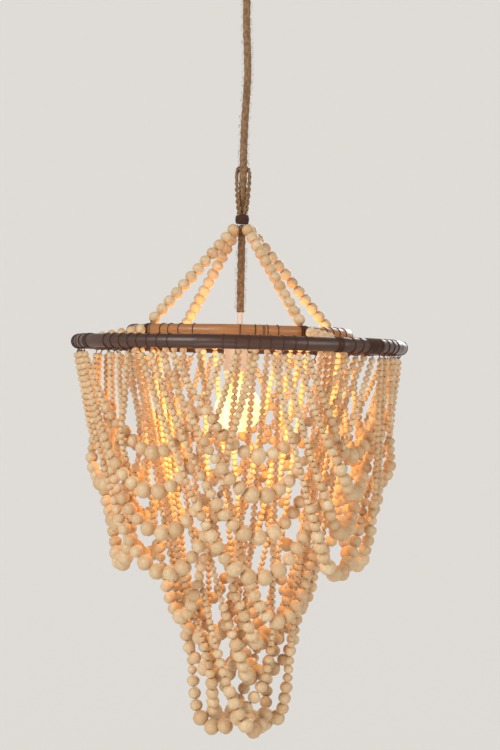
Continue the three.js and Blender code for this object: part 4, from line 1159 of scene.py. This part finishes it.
class CHANDELIER_OT_hoops(bpy.types.Operator):
    """Bend the two cane hoops and wind the thread that ties the strings to them"""
    bl_idname = "chandelier.hoops"
    bl_label = "Hoops"

    def execute(self, context):
        chance = random.Random("cane joints")
        outer_joints = [math.radians(degrees) for degrees in (-161, -104, -52, -17, 33, 84, 139)]
        inner_joints = [math.radians(degrees) for degrees in (-140, -78, -8, 61, 128)]
        outer = hoop_mesh(OUTER_HOOP_BOX, outer_joints, 480, chance)
        new_piece("outer_hoop_cane", outer, "smoked_cane", "cage", ["outer_hoop"])
        inner = hoop_mesh(INNER_HOOP_BOX, inner_joints, 360, chance)
        new_piece("inner_hoop_cane", inner, "honey_cane", "cage", ["inner_hoop"])
        turns = self.turns(OUTER_SWAGS, SPOKES, (0.4, 0.75, 1.1)) + self.scarf_turns(47.6, 0.36, 22)
        self.add_lashings("outer_hoop_lashings", OUTER_HOOP_BOX, turns, chance)
        turns = self.turns(INNER_SWAGS, HANGERS, (0.35, 0.9, 1.4, 1.9)) + self.scarf_turns(-172, 0.5, 18)
        self.add_lashings("inner_hoop_lashings", INNER_HOOP_BOX, turns, chance)
        return {"FINISHED"}

    def scarf_turns(self, start, pitch, count):
        """Where thread goes round the cane's scarfed ends: even turns, from degrees."""
        return [math.radians(start + pitch * step) for step in range(count)]

    def turns(self, swag_nodes, straight_nodes, steps):
        """Where thread goes round a hoop: at each swag's ends, and some degrees each side of a straight string."""
        turns = [angle_of(swag[end]) for node in swag_nodes for swag in swags_of(node) for end in (0, -1)]
        for node in straight_nodes:
            knot = max(string_ends(node), key=lambda point: point.xy.length)
            degrees = [-step for step in reversed(steps)] + list(steps)
            turns += [angle_of(knot) + math.radians(step) for step in degrees]
        return turns

    def add_lashings(self, name, box, turns, chance):
        radius = settings().hoops.lashing_thread / 2
        routes = [lashing_turn(box, angle, radius, chance) for angle in turns]
        new_piece(name, tubes(routes, radius, cyclic=True), "lashing_thread", "cage")


class CHANDELIER_OT_straight_strings(bpy.types.Operator):
    """String the beads of the four hangers under the crown and the four spokes between the hoops"""
    bl_idname = "chandelier.straight_strings"
    bl_label = "Hangers and spokes"

    def execute(self, context):
        beads = settings().beads
        shapes = bead_shapes()
        threads = []
        for nodes, diameter in ((HANGERS, beads.hanger), (SPOKES, beads.small)):
            for node in nodes:
                start, end = string_ends(node)
                route = Route([start, (start + end) / 2, end])
                bead_piece(node, [(route, place_even(route, diameter))], shapes)
                threads.append(route.places(diameter))
        thread_piece("straight_string_threads", threads)
        return {"FINISHED"}


class CHANDELIER_OT_outer_swags(bpy.types.Operator):
    """String the outer tier: nested swags of graded beads, two to a thread"""
    bl_idname = "chandelier.outer_swags"
    bl_label = "Outer swags"

    def execute(self, context):
        string_swags(
            OUTER_SWAGS, settings().beads.outer_small_count,
            lambda node: (1, 2) if node.endswith("upper") else (3, 4), "outer_swag_threads")
        return {"FINISHED"}


class CHANDELIER_OT_inner_swags(bpy.types.Operator):
    """String the inner tier: long nested swags of graded beads"""
    bl_idname = "chandelier.inner_swags"
    bl_label = "Inner swags"

    def execute(self, context):
        string_swags(
            INNER_SWAGS, settings().beads.inner_small_count, lambda node: (int(node[-1]),), "inner_swag_threads")
        return {"FINISHED"}


def screw_outline(radius, low, high):
    """(radius, height) pairs of a rolled thread, from its low end to its high end."""
    steps = round((high - low) / SCREW_PITCH * SCREW_STEPS)
    heights = [low + (high - low) * step / steps for step in range(steps + 1)]
    return [(radius + SCREW_DEPTH * math.sin(FULL_TURN * (height - low) / SCREW_PITCH), height) for height in heights]


def inset(outline, wall):
    """The same outline, nearer the axis by a wall."""
    return [(radius - wall, height) for radius, height in outline]


class CHANDELIER_OT_lampholder(bpy.types.Operator):
    """Turn the lampholder's cap, its ribbed shell and the brass screw shell inside"""
    bl_idname = "chandelier.lampholder"
    bl_label = "Lampholder"

    def execute(self, context):
        self.add_cap()
        self.add_shell()
        self.add_screw_shell()
        return {"FINISHED"}

    def add_cap(self):
        outer, seam, top = CAP_BOX[1].x, CAP_BOX[0].z, CAP_BOX[1].z
        outside = quarter_round(SHEATH_BORE, outer, seam, top, 12)
        inside = quarter_round(SHEATH_BORE, outer - HOLDER_WALL, seam, top - HOLDER_WALL, 12)
        outline = [(outer - 0.4 * MM, seam), *outside[1:], *inside[::-1]]
        new_piece("holder_cap", to_mesh(lathe(outline, 72)), "cream_plastic", "lamp", ["lampholder_cap"])

    def add_shell(self):
        foot, top = SHELL_BOX[0].z, SHELL_BOX[1].z
        outer, band, step = CAP_BOX[1].x, 10 * MM, 1.2 * MM
        inner = outer - HOLDER_WALL
        low, high = foot + band + step, top - band - step
        bm = lathe(rounded([
            (inner, foot), (outer, foot), (outer, foot + band), (outer - step, low),
            (outer - step, high), (outer, top - band), (outer, top), (inner, top)], 0.5 * MM, 2), 144)
        raise_ridges(bm, 36, -0.018, lambda radius, height: (
            radius > inner + 0.5 * MM and foot + MM < height < top - MM and not low < height < high))
        new_piece("holder_shell", to_mesh(bm), "cream_plastic", "lamp", ["lampholder_shell"])

    def add_screw_shell(self):
        outer, foot, top = 14.5 * MM, INSERT_BOX[0].z, INSERT_BOX[1].z
        rim, metal = INSERT_BOX[1].x, MM
        threads = screw_outline(outer - 0.5 * MM, foot + MM, top - 3 * MM)
        outline = [
            (0, top), (rim, top), (rim, top - metal), (outer, top - metal), *threads[::-1], (outer, foot),
            (outer - metal, foot), *inset(threads, metal), (outer - metal, top - metal), (0, top - metal)]
        new_piece("screw_shell", to_mesh(lathe(outline)), "worn_brass", "lamp", ["lampholder_insert"])


class CHANDELIER_OT_bulb(bpy.types.Operator):
    """Blow the bulb: its screw cap, its glass, and the stem with the lit filament"""
    bl_idname = "chandelier.bulb"
    bl_label = "Bulb"

    def execute(self, context):
        self.add_cap()
        self.add_glass()
        self.add_stem()
        return {"FINISHED"}

    def add_cap(self):
        outer, foot, top = BULB_CAP_BOX[1].x, BULB_CAP_BOX[0].z, BULB_CAP_BOX[1].z
        metal, contact, contact_height = MM, 4.5 * MM, 2.5 * MM
        button = top - contact_height
        shoulder = button - contact_height
        threads = screw_outline(outer - 0.5 * MM, foot + 2 * MM, shoulder - MM)
        outline = [
            (0, top), (contact - 0.5 * MM, top), (contact, top - 0.5 * MM), (contact, button),
            (outer - 0.6 * MM, shoulder), *threads[::-1], (outer - 0.2 * MM, foot), (outer - metal, foot),
            *inset(threads, metal), (outer - 2 * metal, shoulder - metal), (contact, button - metal),
            (0, button - metal)]
        new_piece("bulb_screw_cap", to_mesh(lathe(outline)), "zinc_steel", "bulb", ["bulb_cap"])

    def add_glass(self):
        low, high, round_radius = GLASS_BOX[0].z, GLASS_BOX[1].z, GLASS_BOX[1].x
        neck, wall = 11 * MM, MM
        centre = low + round_radius
        shoulder_angle, blend_steps = math.radians(38), 10
        pull_off_ball, pull_into_neck = 16 * MM, 13 * MM
        tangent = Vector((-math.sin(shoulder_angle), math.cos(shoulder_angle))) * pull_off_ball
        straight = Vector((0, pull_into_neck))

        def envelope(depth):
            """The bulb's outline, that far inside its skin: a round end, a blend and a straight neck."""
            ball = arc_points((0, centre), round_radius - depth, -QUARTER_TURN, shoulder_angle, 26)
            start, end = Vector(ball[-1]), Vector((neck - depth, BULB_CAP_BOX[0].z - 0.5 * MM))
            blend = []
            for step in range(1, blend_steps + 1):
                on = step / blend_steps
                back = 1 - on
                blend.append(tuple(
                    start * back ** 3 + (start + tangent) * 3 * on * back ** 2
                    + (end - straight) * 3 * on ** 2 * back + end * on ** 3))
            return [(0, ball[0][1]), *ball[1:], *blend, (neck - depth, high)]

        outline = [*envelope(0), *envelope(wall)[::-1]]
        glass = new_piece("bulb_envelope", to_mesh(lathe(outline, 72)), "clear_glass", "bulb", ["bulb_glass"])
        glass.visible_shadow = False
        self.add_lamp_light(centre)

    def add_lamp_light(self, height):
        """The filament's own light, from the middle of the envelope."""
        light = bpy.data.lights.new("filament_light", "POINT")
        light.shadow_soft_size = 22 * MM
        light.energy = settings().lamp.lamp_power
        light.color = settings().lamp.lamplight
        lamp = link_new("filament_light", light)
        lamp.location = (0, 0, height)
        for ray in ("camera", "glossy", "transmission"):
            setattr(lamp, f"visible_{ray}", False)
        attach(lamp, "bulb")

    def add_stem(self):
        low, top = STEM_BOX[0].z, STEM_BOX[1].z
        flare, stem, rod = 9.2 * MM, 4.2 * MM, 1.2 * MM
        waist, tip = top - 24 * MM, low + 6 * MM
        outline = rounded([
            (0, tip), (rod, tip), (1.4 * MM, waist - 4 * MM), (stem, waist + 2 * MM), (stem, top - 8 * MM),
            (flare, top - 2 * MM), (flare, top), (0, top)], 1.2 * MM)
        new_piece("bulb_stem_glass", to_mesh(lathe(outline, 32)), "stem_glass", "bulb", ["bulb_stem"])

        hooks, low_radius, high_radius = 5, 11 * MM, 6.5 * MM
        low_ring, high_ring = low + 2 * MM, waist - 6 * MM
        coil, wires = [], []
        for hook in range(hooks):
            angle, between, after = (FULL_TURN * (hook + share) / hooks for share in (0, 0.5, 1))
            first, second = polar(low_radius, angle, low_ring), polar(high_radius, between, high_ring)
            last = polar(low_radius, after, low_ring)
            coil += [first, first.lerp(second, 0.5), second, second.lerp(last, 0.5)]
            wires.append([Vector((0, 0, tip + MM)), polar(7 * MM, angle, low_ring + 3 * MM), first])
            wires.append([polar(rod, angle + 0.6, high_ring + 4 * MM), second])
        new_piece("bulb_filament", tubes([coil], 0.3 * MM, cyclic=True), "lit_filament", "bulb")
        new_piece("bulb_support_wires", tubes(wires, 0.22 * MM), "zinc_steel", "bulb")


class CHANDELIER_PT_panel(bpy.types.Panel):
    """Lists the chandelier's pieces, to build them one by one"""
    bl_idname = "CHANDELIER_PT_panel"
    bl_label = "Chandelier"
    bl_space_type = "VIEW_3D"
    bl_region_type = "UI"
    bl_category = "Chandelier"

    def draw(self, context):
        for operator in OPERATORS:
            self.layout.operator(operator.bl_idname)


# The camera and the cords come first
OPERATORS = [
    CHANDELIER_OT_studio,
    CHANDELIER_OT_flex,
    CHANDELIER_OT_ceiling_fitting,
    CHANDELIER_OT_crown,
    CHANDELIER_OT_hoops,
    CHANDELIER_OT_straight_strings,
    CHANDELIER_OT_outer_swags,
    CHANDELIER_OT_inner_swags,
    CHANDELIER_OT_lampholder,
    CHANDELIER_OT_bulb,
]

CLASSES = [
    BeadSettings,
    HoopSettings,
    FlexSettings,
    LampSettings,
    StudioSettings,
    ChandelierSettings,
    *OPERATORS,
    CHANDELIER_PT_panel,
]


def register():
    for part in CLASSES:
        bpy.utils.register_class(part)
    bpy.types.Scene.chandelier = PointerProperty(type=ChandelierSettings)


def unregister():
    del bpy.types.Scene.chandelier
    for part in reversed(CLASSES):
        bpy.utils.unregister_class(part)


def main():
    register()
    bpy.ops.chandelier.studio()
    bpy.ops.chandelier.flex()
    bpy.ops.chandelier.ceiling_fitting()
    bpy.ops.chandelier.crown()
    bpy.ops.chandelier.hoops()
    bpy.ops.chandelier.straight_strings()
    bpy.ops.chandelier.outer_swags()
    bpy.ops.chandelier.inner_swags()
    bpy.ops.chandelier.lampholder()
    bpy.ops.chandelier.bulb()


if __name__ == "__main__":
    main()
